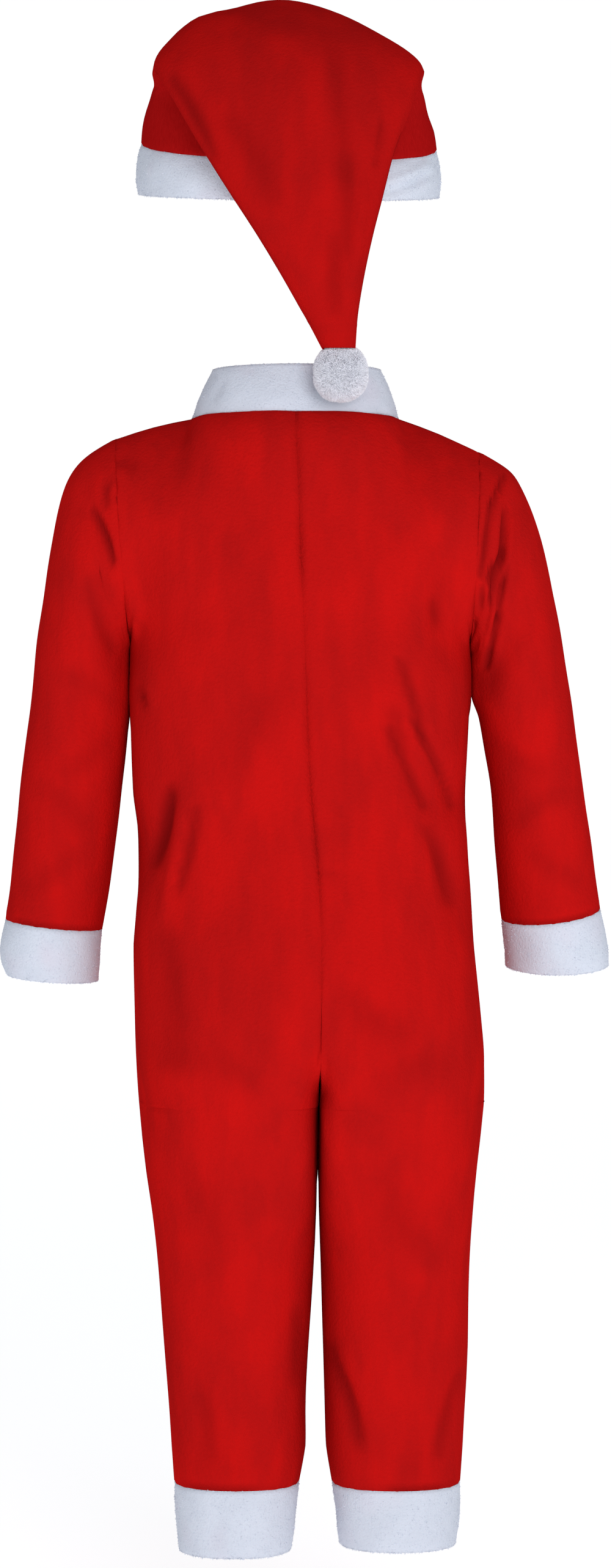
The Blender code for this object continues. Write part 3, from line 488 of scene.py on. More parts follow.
SLEEVE_CREASES = folds(
    Side.BACK,
    # left sleeve: folds from the shoulder, then soft bends at the elbow
    (-105.6, -53.7, -94.7, -80.3, 2.7, -1.7, 1),
    (-98.3, -40.5, -98.5, -49, 3.2, -1.1),
    (-95.9, -45.1, -88, -31.8, 3.4, 0.9),
    (-92.8, -47.6, -88, -42.6, 2.4, -1.3),
    (-111, -56, -101, -84, 3.6, 1, 1),
    (-108, -90, -96, -124, 4.6, -0.6, -2),
    (-122, -138, -98, -152, 7, -0.4, 2),
    (-100, -175, -120, -188, 7, -0.4, 2),
    (-134, -198, -112, -216, 7, -0.4, 2),
    (-118, -235, -140, -250, 7, -0.4, 1),
    # right sleeve: the set-in line and parallel folds that run together at the underarm
    (109.8, -33.4, 102.6, -50, 2, -1.3),
    (102.4, -49.5, 96.7, -87, 2, -1.4),
    (107.5, -44, 104, -76, 2.4, 0.8),
    (110, -54, 108.8, -80, 2.7, -1.5),
    (109, -74, 102.1, -101.2, 2.4, -1.7, -1),
    (113, -56, 110.5, -86, 2.6, 1),
    (103.2, -82, 99.7, -90.5, 2.2, -1.4),
    (111.1, -82.8, 106, -110, 2.4, -1.7, -1),
    (106.2, -109, 99.7, -134.2, 2.6, -1.8),
    (106.5, -96, 101, -124, 2.4, 0.9),
    (97.6, -95, 97.2, -104.5, 2, -1),
    (93.8, -112, 91.5, -121, 2.2, -1.4),
    (103, -130, 101, -148, 6, -0.7),
    (106, -175, 128, -188, 7, -0.4, -2),
    (142, -201, 118, -215, 7, -0.4, -2),
    (124, -233, 148, -246, 7, -0.4, -1),
) + folds(
    Side.FRONT,
    # the hidden side
    (-106, -50, -95, -86, 3.2, -2.2, -1),
    (-111, -52, -100, -90, 3.4, 1, -1),
    (-114, -84, -96, -122, 3.6, -1.8, -1),
    (-124, -132, -100, -154, 5, -1.4, 2),
    (-128, -168, -102, -183, 5, -1.6, 2),
    (-132, -196, -108, -208, 5, -1.3, 2),
    (112, -54, 100, -88, 3.2, -2.2, 1),
    (115, -60, 106, -90, 3, 1, 1),
    (118, -88, 100, -124, 3.6, -1.8, 1),
    (132, -134, 106, -156, 5, -1.4, -2),
    (136, -170, 110, -184, 5, -1.6, -2),
    (142, -198, 116, -210, 5, -1.3, -2),
)
HAT_CREASES = folds(
    Side.AROUND,
    # the crown stands out at its upper left
    (-56, 199, -44, 205, 11, 1.8),
) + folds(
    Side.BACK,
    # on the tail and over the crown
    (-63.2, 165, -44.8, 125.5, 6, -1.4, 2),
    (19.9, 178.7, 26.2, 114, 6, -0.7),
    (26.2, 120, 27.2, 76, 5.6, -0.6),
    (7.1, 137.5, 13, 105.1, 4.4, 0.8),
    (41.2, 147.5, 39.8, 125.1, 3.2, 0.9),
    (44, 142, 41.2, 121, 2.4, -0.9),
    (35.5, 107.9, 30.5, 62.7, 3.2, 0.9),
    (56.6, 139, 59.7, 124, 3, -0.9),
    (20, 82, 20.5, 48, 4.4, -0.6),
    (-32, 142, -12, 104, 8, -0.7, 2),
    (-20, 198, 16, 190, 12, -0.5, 2),
) + folds(
    Side.FRONT,
    (-42, 200, -30, 165, 8, -1.1, 2),
    (36, 196, 26, 162, 8, -1.1, -2),
    (-8, 208, 2, 176, 8, -0.7, 1),
)
TRIM_CREASES = folds(
    Side.BACK,
    # the brim, the collar and the cuffs
    (71, 124.9, 49.8, 111.8, 2.6, -1.3, 1),
    (69, 129, 50, 116.5, 3, 0.7, 1),
    (-47, 130, -44, 114, 5, -0.5, 1),
    (-38, 16, -44, 6, 3.4, -0.6),
    (8, 21, 10, 6, 5, -0.5, 1),
    (-40, -572, -42, -592, 5, -0.6, 1),
    (62, -572, 60, -590, 5, -0.6, 1),
    (-130, -278, -128, -292, 4, -0.5),
    (140, -272, 142, -286, 4, -0.5),
) + folds(
    Side.FRONT,
    (30, 148, 33, 130, 5, -0.8, 1),
    (-30, 148, -33, 130, 5, -0.8, 1),
)


# ---------------------------------------- cloth
@dataclass(frozen=True)
class Cut:
    """The flat size that a piece of cloth was cut to, and the area of that cut."""

    width: float
    length: float
    area: float


@dataclass
class Cloth:
    """One sewn piece: a thin shell on the form of its solid."""

    solids: Solids
    node: str
    cut: Cut
    finish: Velour | Fleece
    creases: tuple[Crease, ...]
    looks: Triple | None = None  # the way a flat strip's right side looks
    rounding: int = 2            # how often the solid's faces are divided
    seam_dip: float = 0.0007     # how deep the cloth dips to a seam
    seam_width: float = 0.0024
    seam_shade: float = 0.0034   # painted shade darkens the cloth this near to a seam
    flat_seams: float = 0.020    # seams this near to the middle of the back and front lie flat
    sunk_below: float = -0.045   # armhole seams sink in below this height
    hem: float = -0.556          # the seam of the trim at this height is soft
    still_edge: float = 0.007    # creases die out this near to a seam
    swell: float = 0.0006        # unevenness of the cloth
    swell_size: float = 0.030
    reach: float = 0.0018        # cloth this near to another piece is drawn up to it
    lap: float = 0.00008         # how far sewn edges press into each other
    beyond: tuple[Surface, ...] = (Surface.EDGE,)  # what the right side meets at its seams
    sewn_to: str = ""            # the finished piece that the cloth's edges are sewn onto
    sewn_reach: float = 0.0045   # edges this near to it are drawn onto it
    sewn_ease: float = 0.0060    # how far from the seam that eases off
    near_arm: float = 0.0050     # a sleeve this near to the body hangs against it
    beside: tuple[str, ...] = ()     # the sleeves or body panels that it hangs against
    arm_gap: float = 0.00012     # what is left between them
    arm_low: Pair = (-0.168, -0.150)  # it comes to lie on it from these heights inwards
    arm_high: Pair = (-0.114, -0.122)
    uneven: Pair = (-0.365, 0.016)    # a height, and the reach round it, made level
    kept_apart: Triple = (0.012, 0.0015, 0.012)  # the legs keep their gap this near the middle
    full_painted_shade: float = 0.0028  # a crease this deep gets the full painted shade
    tuck: float = 0.0            # how far the tail's tip reaches down into the pompom
    tuck_span: Pair = (0.0460, 0.0314)  # heights where that starts and is whole
    fits: int = 2                # how often the rounded form is set back onto the solid's points

    weld = 0.01 * MILLIMETRE
    touch = 0.001 * MILLIMETRE   # cloth this near to another piece counts as touching it
    sharp_turn = math.radians(45)
    flat_turn = math.radians(38)
    quad_shape = math.pi / 2     # how far from a square a joined pair of triangles may be
    quad_rows = 1.6              # how strongly joined pairs keep to rows
    smooth_turn = math.radians(60)
    middle = 0.0137              # where the suit's centre lies
    seam_facing = (1.6, 0.4)     # seams show on cloth that faces back, front, up or down
    seam_sink = (0.030, 0.25)    # height over which armhole seams sink in, and least share of it
    seam_flat = 0.04             # how plainly a seam in the middle shows
    hem_soft = (0.020, 0.45)     # height over which the hem's seam softens, and what is left of it
    level_rounds = 40
    level_pace = 0.5
    level_clear = 0.001          # seams are left where they are
    level_least = 0.05           # a piece with no more weight than this is left as it is

    def welded(self) -> bpy.types.Mesh:
        """Copy the solid's skin, join its triangles to quads and mark its surfaces.

        Returns:
            A mesh whose material numbers are those of Surface.
        """
        bm = bmesh.new()
        bm.from_mesh(self.solids[self.node].data)
        bmesh.ops.remove_doubles(bm, verts=bm.verts, dist=self.weld)
        bmesh.ops.join_triangles(bm, faces=bm.faces, angle_face_threshold=self.flat_turn,
                                 angle_shape_threshold=self.quad_shape,
                                 topology_influence=self.quad_rows)
        keep = bm.edges.layers.float.new("crease_edge")
        for edge in bm.edges:
            if len(edge.link_faces) == 2 and edge.calc_face_angle() > self.sharp_turn:
                edge[keep] = 1.0
        skins = sorted(self.skins(bm, keep), key=lambda skin: -sum(f.calc_area() for f in skin))
        outside, reverse = skins[0], skins[1]
        if self.looks:
            facing = sum((face.normal * face.calc_area() for face in outside), Vector())
            if facing.dot(Vector(self.looks)) < 0:
                outside, reverse = reverse, outside
        for face in bm.faces:
            face.material_index = Surface.EDGE.value
        for skin, surface in ((outside, Surface.OUTSIDE), (reverse, Surface.REVERSE)):
            for face in skin:
                face.material_index = surface.value
        return mesh_of(self.node + "_cloth", bm)

    @staticmethod
    def skins(bm: bmesh.types.BMesh,
              keep: bmesh.types.BMLayerItem) -> list[list[bmesh.types.BMFace]]:
        """Part the faces into the regions that sharp edges bound.

        Args:
            bm: The mesh.
            keep: The layer that marks its sharp edges.

        Returns:
            The faces of each region.
        """
        seen: set[bmesh.types.BMFace] = set()
        found = []
        for first in bm.faces:
            skin, waiting = [], [first]
            while waiting:
                face = waiting.pop()
                if face not in seen:
                    seen.add(face)
                    skin.append(face)
                    waiting.extend(other for edge in face.edges if not edge[keep]
                                   for other in edge.link_faces)
            if skin:
                found.append(skin)
        return found

    def rounded(self, mesh: bpy.types.Mesh) -> bpy.types.Mesh:
        """Divide and round a mesh's faces, with its own points left where the solid has them.

        Args:
            mesh: The solid's skin; it is moved.

        Returns:
            The rounded mesh.
        """
        aim = read(mesh.vertices, "co", 3)
        held = aim.copy()
        for _ in range(self.fits):
            held += aim - read(self.divided(mesh).vertices, "co", 3)[:len(aim)]
            mesh.vertices.foreach_set("co", held.ravel())
            mesh.update()
        return self.divided(mesh)

    def divided(self, mesh: bpy.types.Mesh) -> bpy.types.Mesh:
        """Divide a mesh's faces, with its sharp edges kept.

        Args:
            mesh: The mesh; it is left as it is.

        Returns:
            The divided copy.
        """
        holder = put_in_scene(self.node + "_form", mesh)
        modifier = holder.modifiers.new("rounding", "SUBSURF")
        modifier.levels = modifier.render_levels = self.rounding
        graph = bpy.context.evaluated_depsgraph_get()
        result = bpy.data.meshes.new_from_object(holder.evaluated_get(graph))
        bpy.data.objects.remove(holder)
        return result

    def meet(self, points: np.ndarray) -> np.ndarray:
        """Draw the cloth up to the pieces that it is sewn to or lies against.

        Args:
            points: The shell's points.

        Returns:
            How far each point moves.
        """
        move = np.zeros_like(points)
        others = self.tree(solid for name, solid in self.solids.items() if name != self.node)
        for number, way, gap in self.near(others, points, np.ones(len(points)), self.reach):
            move[number] = way * (0.5 + self.lap / gap)
        return move

    def near(self, tree: BVHTree, points: np.ndarray, wish: np.ndarray,
             reach: float) -> Iterator[tuple[int, np.ndarray, float]]:
        """Find the points that lie near other pieces, and how far they are drawn to them.

        Args:
            tree: The other pieces.
            points: The shell's points.
            wish: How fully each may be drawn.
            reach: How far away they may lie; from half of that on they are drawn less.

        Yields:
            A point's number, the way to go and the gap that there is.
        """
        for number in np.flatnonzero(wish > 0.0):
            point = points[number]
            found, _, _, gap = tree.find_nearest(Vector(point), reach)
            if found is not None and gap > self.touch:
                share = min(1.0, 2.0 * (1.0 - gap / reach)) * wish[number]
                yield number, (np.array(found) - point) * share, gap

    @staticmethod
    def tree(pieces: Iterable[bpy.types.Object]) -> BVHTree:
        """Join the faces of some pieces in a search tree.

        Args:
            pieces: The pieces.

        Returns:
            The tree.
        """
        corners, faces = [], []
        for piece in pieces:
            first = len(corners)
            faces.extend([first + v for v in face.vertices] for face in piece.data.polygons)
            corners.extend(vertex.co for vertex in piece.data.vertices)
        return BVHTree.FromPolygons(corners, faces)

    def sew(self, points: np.ndarray, distance: np.ndarray) -> None:
        """Draw the cloth's edges onto a finished piece.

        Args:
            points: The shell's points; they are moved.
            distance: How far each lies from a seam.
        """
        tree = self.tree([bpy.data.objects[self.sewn_to]])
        ease = (1.0 - distance / self.sewn_ease).clip(0.0, 1.0)
        for number, way, gap in self.near(tree, points, ease, self.sewn_reach):
            points[number] += way * (1.0 + self.lap / gap)

    def hang(self, points: np.ndarray, move: np.ndarray) -> None:
        """Let a sleeve and the body hang against each other under the arm.

        Args:
            points: The shell's points.
            move: How far each point moves; it is changed.
        """
        others = self.tree(self.solids[name] for name in self.beside)
        wish = ramp(points[:, 2], *self.arm_low) * ramp(points[:, 2], *self.arm_high)
        for number, way, gap in self.near(others, points, wish, self.near_arm):
            drawn = way * (0.5 - self.arm_gap / gap)
            if gap > 2 * self.arm_gap and np.linalg.norm(drawn) > np.linalg.norm(move[number]):
                move[number] = drawn

    def levelled(self, mesh: bpy.types.Mesh, points: np.ndarray,
                 distance: np.ndarray) -> np.ndarray:
        """Smooth the cloth where the solid's rows change their spacing.

        Args:
            mesh: The shell.
            points: Its points.
            distance: How far each lies from a seam.

        Returns:
            The smoothed points.
        """
        height, reach = self.uneven
        weight = np.exp(-((points[:, 2] - height) / reach) ** 2)
        weight *= ramp(distance, 0.0, self.level_clear)
        aside = np.abs(points[:, 0] - self.middle)[:, None]
        weight = weight[:, None] * (aside / self.kept_apart - 1.0).clip(0.0, 1.0)
        if weight.max() < self.level_least:
            return points
        edges = read(mesh.edges, "vertices", 2, np.int32)
        count = np.bincount(edges.ravel(), minlength=len(points))[:, None]
        for _ in range(self.level_rounds):
            total = np.zeros_like(points)
            np.add.at(total, edges[:, 0], points[edges[:, 1]])
            np.add.at(total, edges[:, 1], points[edges[:, 0]])
            points = points + self.level_pace * weight * (total / count - points)
        return points

    def seam_strength(self, points: np.ndarray, out: np.ndarray) -> np.ndarray:
        """Say how plainly a seam shows: flat in the middle and at the shoulders, sunk at the arms.

        Args:
            points: The shell's points.
            out: The outward direction at each of them.

        Returns:
            A share of the full depth for each point.
        """
        gain, less = self.seam_facing
        turned = (np.abs(out[:, 1:]).sum(1) * gain - less).clip(0.0, 1.0)
        side = (np.abs(points[:, 0] - self.middle) / self.flat_seams - 1.0).clip(0.0, 1.0)
        height, least = self.seam_sink
        sunk = ((self.sunk_below - points[:, 2]) / height).clip(least, 1.0)
        height, least = self.hem_soft
        soft = ((points[:, 2] - self.hem) / height).clip(least, 1.0)
        return turned * (self.seam_flat + (1.0 - self.seam_flat) * side * sunk) * soft

    def fold(self, mesh: bpy.types.Mesh) -> None:
        """Move the shell's points: creases and unevenness through both skins, dips at the seams.

        Args:
            mesh: The shell.
        """
        points = read(mesh.vertices, "co", 3)
        outside = directions(mesh, Surface.OUTSIDE)
        reverse = directions(mesh, Surface.REVERSE)
        out = np.where(np.abs(outside).sum(1, keepdims=True) > 0, outside, -reverse)
        distance = seam_distances(mesh, points, self.beyond)
        points = self.levelled(mesh, points, distance)
        still = ramp(distance, 0.0, self.still_edge)
        still = still * still * (3.0 - 2.0 * still)
        crease = np.zeros(len(points))
        for one in self.creases:
            crease = crease + one.lift(points, out[:, 1])
        swell = self.swell * np.array([noise.noise(Vector(p) / self.swell_size) for p in points])
        shown = self.seam_strength(points, out) * (np.abs(outside).sum(1) > 0)
        dip = self.seam_dip * np.exp(-(distance / self.seam_width) ** 2) * shown
        lift = (crease + swell) * still - dip
        move = self.meet(points)
        if self.beside:
            self.hang(points, move)
        points += move + out * lift[:, None]
        if self.sewn_to:
            self.sew(points, distance)
        points[:, 2] -= self.tuck * ramp(points[:, 2], *self.tuck_span) ** 2
        mesh.vertices.foreach_set("co", points.ravel())
        # painted shade: the cloth is darkened beside seams and in the troughs of creases, kept as
        # the hollow attribute
        dark = (1.0 - distance / self.seam_shade).clip(0.0, 1.0) * shown
        dark = np.maximum(dark, (-crease * still / self.full_painted_shade).clip(0.0, 1.0))
        kept = mesh.attributes.new("hollow", "FLOAT", "POINT")
        kept.data.foreach_set("value", dark.astype(np.float32))
        mesh.update()

    def build(self) -> bpy.types.Object:
        """Make the piece, dress it and put it in the place of its solid.

        Returns:
            The piece.
        """
        mesh = self.rounded(self.welded())
        self.fold(mesh)
        mesh.shade_smooth()
        mesh.set_sharp_from_angle(angle=self.smooth_turn)
        piece = add_piece(self.node + "_cloth", mesh)
        outside, inside = self.materials()
        for material in (outside, inside, outside):
            mesh.materials.append(material)
        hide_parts(self.node)
        area = read(mesh.polygons, "area", 1)[faces_of(mesh, (Surface.OUTSIDE,))].sum()
        LOG.info("%s: %d faces, outside %.4f m2", piece.name, len(mesh.polygons), area)
        return piece

    def build_bare(self) -> None:
        """Make a piece that carries no pile."""
        self.build()

    def materials(self) -> tuple[bpy.types.Material, bpy.types.Material]:
        """Give the piece its materials, which all alike pieces share.

        Returns:
            The material of the right side and that of the reverse.
        """
        found = bpy.data.materials.get(self.finish.name)
        outside = found or self.finish.outside()
        if isinstance(self.finish, Fleece):
            return outside, outside
        inside = bpy.data.materials.get(self.finish.name + "_reverse") or self.finish.inside()
        return outside, inside


def ramp(values: np.ndarray, start: float, end: float) -> np.ndarray:
    """Give 0 at the start and before it, 1 at the end and past it, and a straight run between."""
    return ((values - start) / (end - start)).clip(0.0, 1.0)


def read(items: bpy.types.bpy_prop_collection, name: str, size: int,
         kind: type = np.float64) -> np.ndarray:
    """Read a property of every item as an array.

    Args:
        items: The items.
        name: The property.
        size: How many numbers it has.
        kind: The type of its numbers.

    Returns:
        One row an item, or a plain list of numbers where size is 1.
    """
    values = np.empty(len(items) * size, dtype=kind)
    items.foreach_get(name, values)
    return values.reshape(-1, size) if size > 1 else values


def directions(mesh: bpy.types.Mesh, surface: Surface) -> np.ndarray:
    """Give each point's outward direction as the faces of one surface have it.

    Args:
        mesh: The shell.
        surface: The surface whose faces count.

    Returns:
        A unit direction for each point of that surface, and zeros elsewhere.
    """
    total = np.zeros((len(mesh.vertices), 3))
    chosen = faces_of(mesh, (surface,))
    normals = read(mesh.polygon_normals, "vector", 3) * read(mesh.polygons, "area", 1)[:, None]
    counts = read(mesh.polygons, "loop_total", 1, np.int32)
    corner_face = np.repeat(np.arange(len(counts)), counts)
    corner_point = read(mesh.loops, "vertex_index", 1, np.int32)
    corners = chosen[corner_face]
    np.add.at(total, corner_point[corners], normals[corner_face[corners]])
    length = np.linalg.norm(total, axis=1, keepdims=True)
    return np.where(length > NO_LENGTH, total / np.maximum(length, NO_LENGTH), 0.0)


def seam_distances(mesh: bpy.types.Mesh, points: np.ndarray,
                   beyond: tuple[Surface, ...]) -> np.ndarray:
    """Give how far each point lies from the outer line of the nearest seam or edge.

    Args:
        mesh: The shell.
        points: Its points.
        beyond: The surfaces that the right side meets at its seams.

    Returns:
        The distance of each point.
    """
    bm = bmesh.new()
    bm.from_mesh(mesh)
    marks = []
    for edge in bm.edges:
        numbers = {face.material_index for face in edge.link_faces}
        if any(numbers == {Surface.OUTSIDE.value, surface.value} for surface in beyond):
            start, end = (vertex.co for vertex in edge.verts)
            marks.extend(start.lerp(end, step / SEAM_MARKS) for step in range(SEAM_MARKS))
    bm.free()
    tree = kdtree.KDTree(len(marks))
    for number, mark in enumerate(marks):
        tree.insert(mark, number)
    tree.balance()
    return np.array([tree.find(point)[2] for point in points])


def faces_of(mesh: bpy.types.Mesh, surfaces: tuple[Surface, ...]) -> np.ndarray:
    """Say of each face whether it belongs to one of some surfaces."""
    number = read(mesh.polygons, "material_index", 1, np.int32)
    return np.isin(number, [surface.value for surface in surfaces])


def mesh_of(name: str, bm: bmesh.types.BMesh) -> bpy.types.Mesh:
    """Turn a finished BMesh into a mesh.

    Args:
        name: The mesh's name.
        bm: The form; it is freed.

    Returns:
        The mesh.
    """
    mesh = bpy.data.meshes.new(name)
    bm.to_mesh(mesh)
    bm.free()
    return mesh


def put_in_scene(name: str, data: bpy.types.ID) -> bpy.types.Object:
    """Put a mesh, a light or a camera into the scene.

    Args:
        name: The object's name.
        data: What it shows.

    Returns:
        The object.
    """
    thing = bpy.data.objects.new(name, data)
    bpy.context.scene.collection.objects.link(thing)
    return thing


def add_piece(name: str, mesh: bpy.types.Mesh) -> bpy.types.Object:
    """Put a mesh into the scene as a piece of the suit that rides on its body."""
    piece = put_in_scene(name, mesh)
    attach(piece, BODY)
    return piece


# ---------------------------------------- pile
@dataclass(frozen=True)
class Pile:
    """A pile of single strands, each a thin tapered blade, rooted in a piece's right side."""

    per_square_metre: float
    length: float
    width: float
    lean: Triple                         # the way it is brushed
    spread: float                        # how much the strands differ in direction
    rise: float                          # how much the strands stand up
    tuft: float                          # width of the tufts that lean together
    seed: int
    twist: float = 0.35                  # how much the strands turn about their length
    root: float = 0.0003                 # how deep a strand starts in the cloth

    together = 0.5                       # how much the strands of a tuft lean together
    shortest = 0.65                      # length of the shortest strands as a share of the full one
    bend = 0.55                          # how far up a strand bends
    droop = 0.35                         # how far its tip goes on the way it is brushed
    narrow = 0.8                         # its width at the bend as a share of that at its root
    tones_with_root_shade = (0.5, 0.5, 0.9, 0.9, 1.0)   # painted shade: how light a strand is at its root, bend and tip, darker at the root
    corners = (0, 1, 2, 3, 3, 2, 4)      # the points of its quad and of the triangle at its tip
    starts = (0, 4)                      # where those two begin

    def grow(self, piece: bpy.types.Object, surfaces: tuple[Surface, ...],
             material: bpy.types.Material) -> bpy.types.Object:
        """Grow the pile on a piece.

        Args:
            piece: The piece.
            surfaces: The surfaces that carry strands.
            material: The strands' material.

        Returns:
            The pile, joined in one mesh.
        """
        rng = np.random.default_rng(self.seed)
        noise.seed_set(self.seed)
        roots, normals = self.scatter(piece.data, surfaces, rng)
        tufts = np.array([noise.noise_vector(Vector(p) / self.tuft) for p in roots])
        lean = np.array(self.lean)
        count = len(roots)
        way = lean + self.spread * rng.normal(size=(count, 3)) + self.together * tufts
        way += normals * (self.rise - (way * normals).sum(1, keepdims=True))
        way /= np.linalg.norm(way, axis=1, keepdims=True)
        side = np.cross(way, normals + self.twist * rng.normal(size=(count, 3)))
        side *= self.width / 2 / np.linalg.norm(side, axis=1, keepdims=True)
        reach = self.length * rng.uniform(self.shortest, 1.0, size=(count, 1))
        base = roots - normals * self.root
        middle = base + way * reach * self.bend
        tip = base + (way + self.droop * lean) * reach
        waist = side * self.narrow
        points = np.stack([base - side, base + side, middle + waist, middle - waist, tip], 1)
        mesh = bpy.data.meshes.new(piece.name + "_pile")
        self.fill(mesh, points)
        # painted shade towards each strand's root, times a random tone for each strand
        tint = mesh.attributes.new("tint", "FLOAT", "POINT")
        tones_with_root_shade = rng.uniform(0.0, 1.0, count).repeat(len(self.tones_with_root_shade)) * np.tile(self.tones_with_root_shade, count)
        tint.data.foreach_set("value", tones_with_root_shade.astype(np.float32))
        mesh.materials.append(material)
        LOG.info("%s: %d strands", mesh.name, count)
        return add_piece(mesh.name, mesh)

    def scatter(self, mesh: bpy.types.Mesh, surfaces: tuple[Surface, ...],
                rng: np.random.Generator) -> tuple[np.ndarray, np.ndarray]:
        """Choose the strands' roots evenly over the surfaces.

        Args:
            mesh: The mesh they grow on.
            surfaces: The surfaces that carry strands.
            rng: The source of chance.

        Returns:
            The roots and the outward directions there.
        """
        mesh.calc_loop_triangles()
        corners = read(mesh.loop_triangles, "vertices", 3, np.int32)
        owner = read(mesh.loop_triangles, "polygon_index", 1, np.int32)
        area = read(mesh.loop_triangles, "area", 1)
        area = np.where(faces_of(mesh, surfaces)[owner], area, 0.0)
        count = int(area.sum() * self.per_square_metre)
        chosen = np.searchsorted(area.cumsum(), rng.uniform(0.0, area.sum(), count))
        chosen = chosen.clip(0, len(area) - 1)
        share = rng.uniform(size=(count, 2))
        over = share.sum(1) > 1.0
        share[over] = 1.0 - share[over]
        points = read(mesh.vertices, "co", 3)
        first, second, third = (points[corners[chosen, i]] for i in range(3))
        roots = first + (second - first) * share[:, :1] + (third - first) * share[:, 1:]
        normals = np.cross(second - first, third - first)
        return roots, normals / np.linalg.norm(normals, axis=1, keepdims=True)

    def fill(self, mesh: bpy.types.Mesh, points: np.ndarray) -> None:
        """Fill a mesh with blades: a quad at the root and a triangle at the tip.

        Args:
            mesh: The empty mesh.
            points: The points of each blade, a blade a row.
        """
        count, per_blade = points.shape[:2]
        number = np.arange(count)[:, None]
        corners = (number * per_blade + np.array(self.corners)).ravel()
        starts = (number * len(self.corners) + np.array(self.starts)).ravel()
        mesh.vertices.add(count * per_blade)
        mesh.vertices.foreach_set("co", points.ravel())
        mesh.loops.add(len(corners))
        mesh.loops.foreach_set("vertex_index", corners)
        mesh.polygons.add(len(starts))
        mesh.polygons.foreach_set("loop_start", starts)
        mesh.update(calc_edges=True)


# ---------------------------------------- sub-assemblies
@dataclass
class Jumpsuit:
    """The red one-piece suit: four body panels, the placket and two sleeves."""

    solids: Solids
    finish: Velour
    back_cut: Cut = Cut(width=0.155, length=0.605, area=0.0745)
    front_cut: Cut = Cut(width=0.150, length=0.600, area=0.0730)
    placket_cut: Cut = Cut(width=0.028, length=0.275, area=0.0074)
    sleeve_cut: Cut = Cut(width=0.195, length=0.275, area=0.0380)

    def build(self) -> None:
        """Make every red piece of the suit."""
        panels = {"back_left": self.back_cut, "back_right": self.back_cut,
                  "front_left": self.front_cut, "front_right": self.front_cut}
        sleeves = ("sleeve_left", "sleeve_right")
        for name, cut in panels.items():
            Cloth(self.solids, name, cut, self.finish, BODY_CREASES, beside=sleeves).build_bare()
        for name in sleeves:
            Cloth(self.solids, name, self.sleeve_cut, self.finish, SLEEVE_CREASES,
                  still_edge=0.0035, hem=-0.266, beside=tuple(panels)).build_bare()
        Cloth(self.solids, "front_placket", self.placket_cut, self.finish, (),
              looks=(0.0, 1.0, 0.0), swell=0.0003).build_bare()


@dataclass
class Trim:
    """The white fleece: collar, sleeve cuffs and ankle cuffs, and the hat's brim."""

    solids: Solids
    finish: Fleece
    collar_cut: Cut = Cut(width=0.310, length=0.027, area=0.0078)
    cuff_cut: Cut = Cut(width=0.150, length=0.033, area=0.0047)
    ankle_cut: Cut = Cut(width=0.205, length=0.036, area=0.0071)
    brim_cut: Cut = Cut(width=0.480, length=0.034, area=0.0136)
    pile: Pile = Pile(per_square_metre=3.2e6, length=0.0012, width=0.00046, lean=(0.0, 0.0, -0.45),
                      spread=0.40, rise=0.14, tuft=0.0040, seed=11, twist=0.15)

    def build(self) -> None:
        """Make every piece of trim with its pile."""
        strands = self.finish.strands()
        cuts = {"collar": self.collar_cut, "cuff_left": self.cuff_cut, "cuff_right": self.cuff_cut,
                "ankle_cuff_left": self.ankle_cut, "ankle_cuff_right": self.ankle_cut,
                "hat_band": self.brim_cut}
        for name, cut in cuts.items():
            cloth = Cloth(self.solids, name, cut, self.finish, TRIM_CREASES, seam_dip=0.0003,
                          swell=0.0009, swell_size=0.022, still_edge=0.004)
            piece = cloth.build()
            pile = self.pile.grow(piece, (Surface.OUTSIDE, Surface.EDGE), strands)


@dataclass
class Hat:
    """The red cone of the stocking hat: two panels, the front in a darker copy of the velour as
    painted shade and the back in a lighter one as painted light under the tail's overhang.
    """

    solids: Solids
    # painted shade on the front panel and painted light on the back panel: darker and lighter
    # copies of the red velour
    front_finish: Velour = Velour(name="velour_up", light=(0.447, 0.0053, 0.0048),
                                  shade=(0.290, 0.0050, 0.0052))
    back_finish: Velour = Velour(name="velour_down", light=(0.735, 0.0083, 0.0076),
                                 shade=(0.460, 0.0076, 0.0078))
    front_cut: Cut = Cut(width=0.205, length=0.330, area=0.0440)
    back_cut: Cut = Cut(width=0.175, length=0.235, area=0.0230)

    def build(self) -> None:
        """Make the cone's two panels."""
        for name, cut, finish, other in (
                ("hat_front", self.front_cut, self.front_finish, ""),
                ("hat_back", self.back_cut, self.back_finish, "hat_front_cloth")):
            Cloth(self.solids, name, cut, finish, HAT_CREASES, swell=0.0009, swell_size=0.036,
                  tuck=0.0026, beyond=(Surface.EDGE, Surface.REVERSE), sewn_to=other).build_bare()


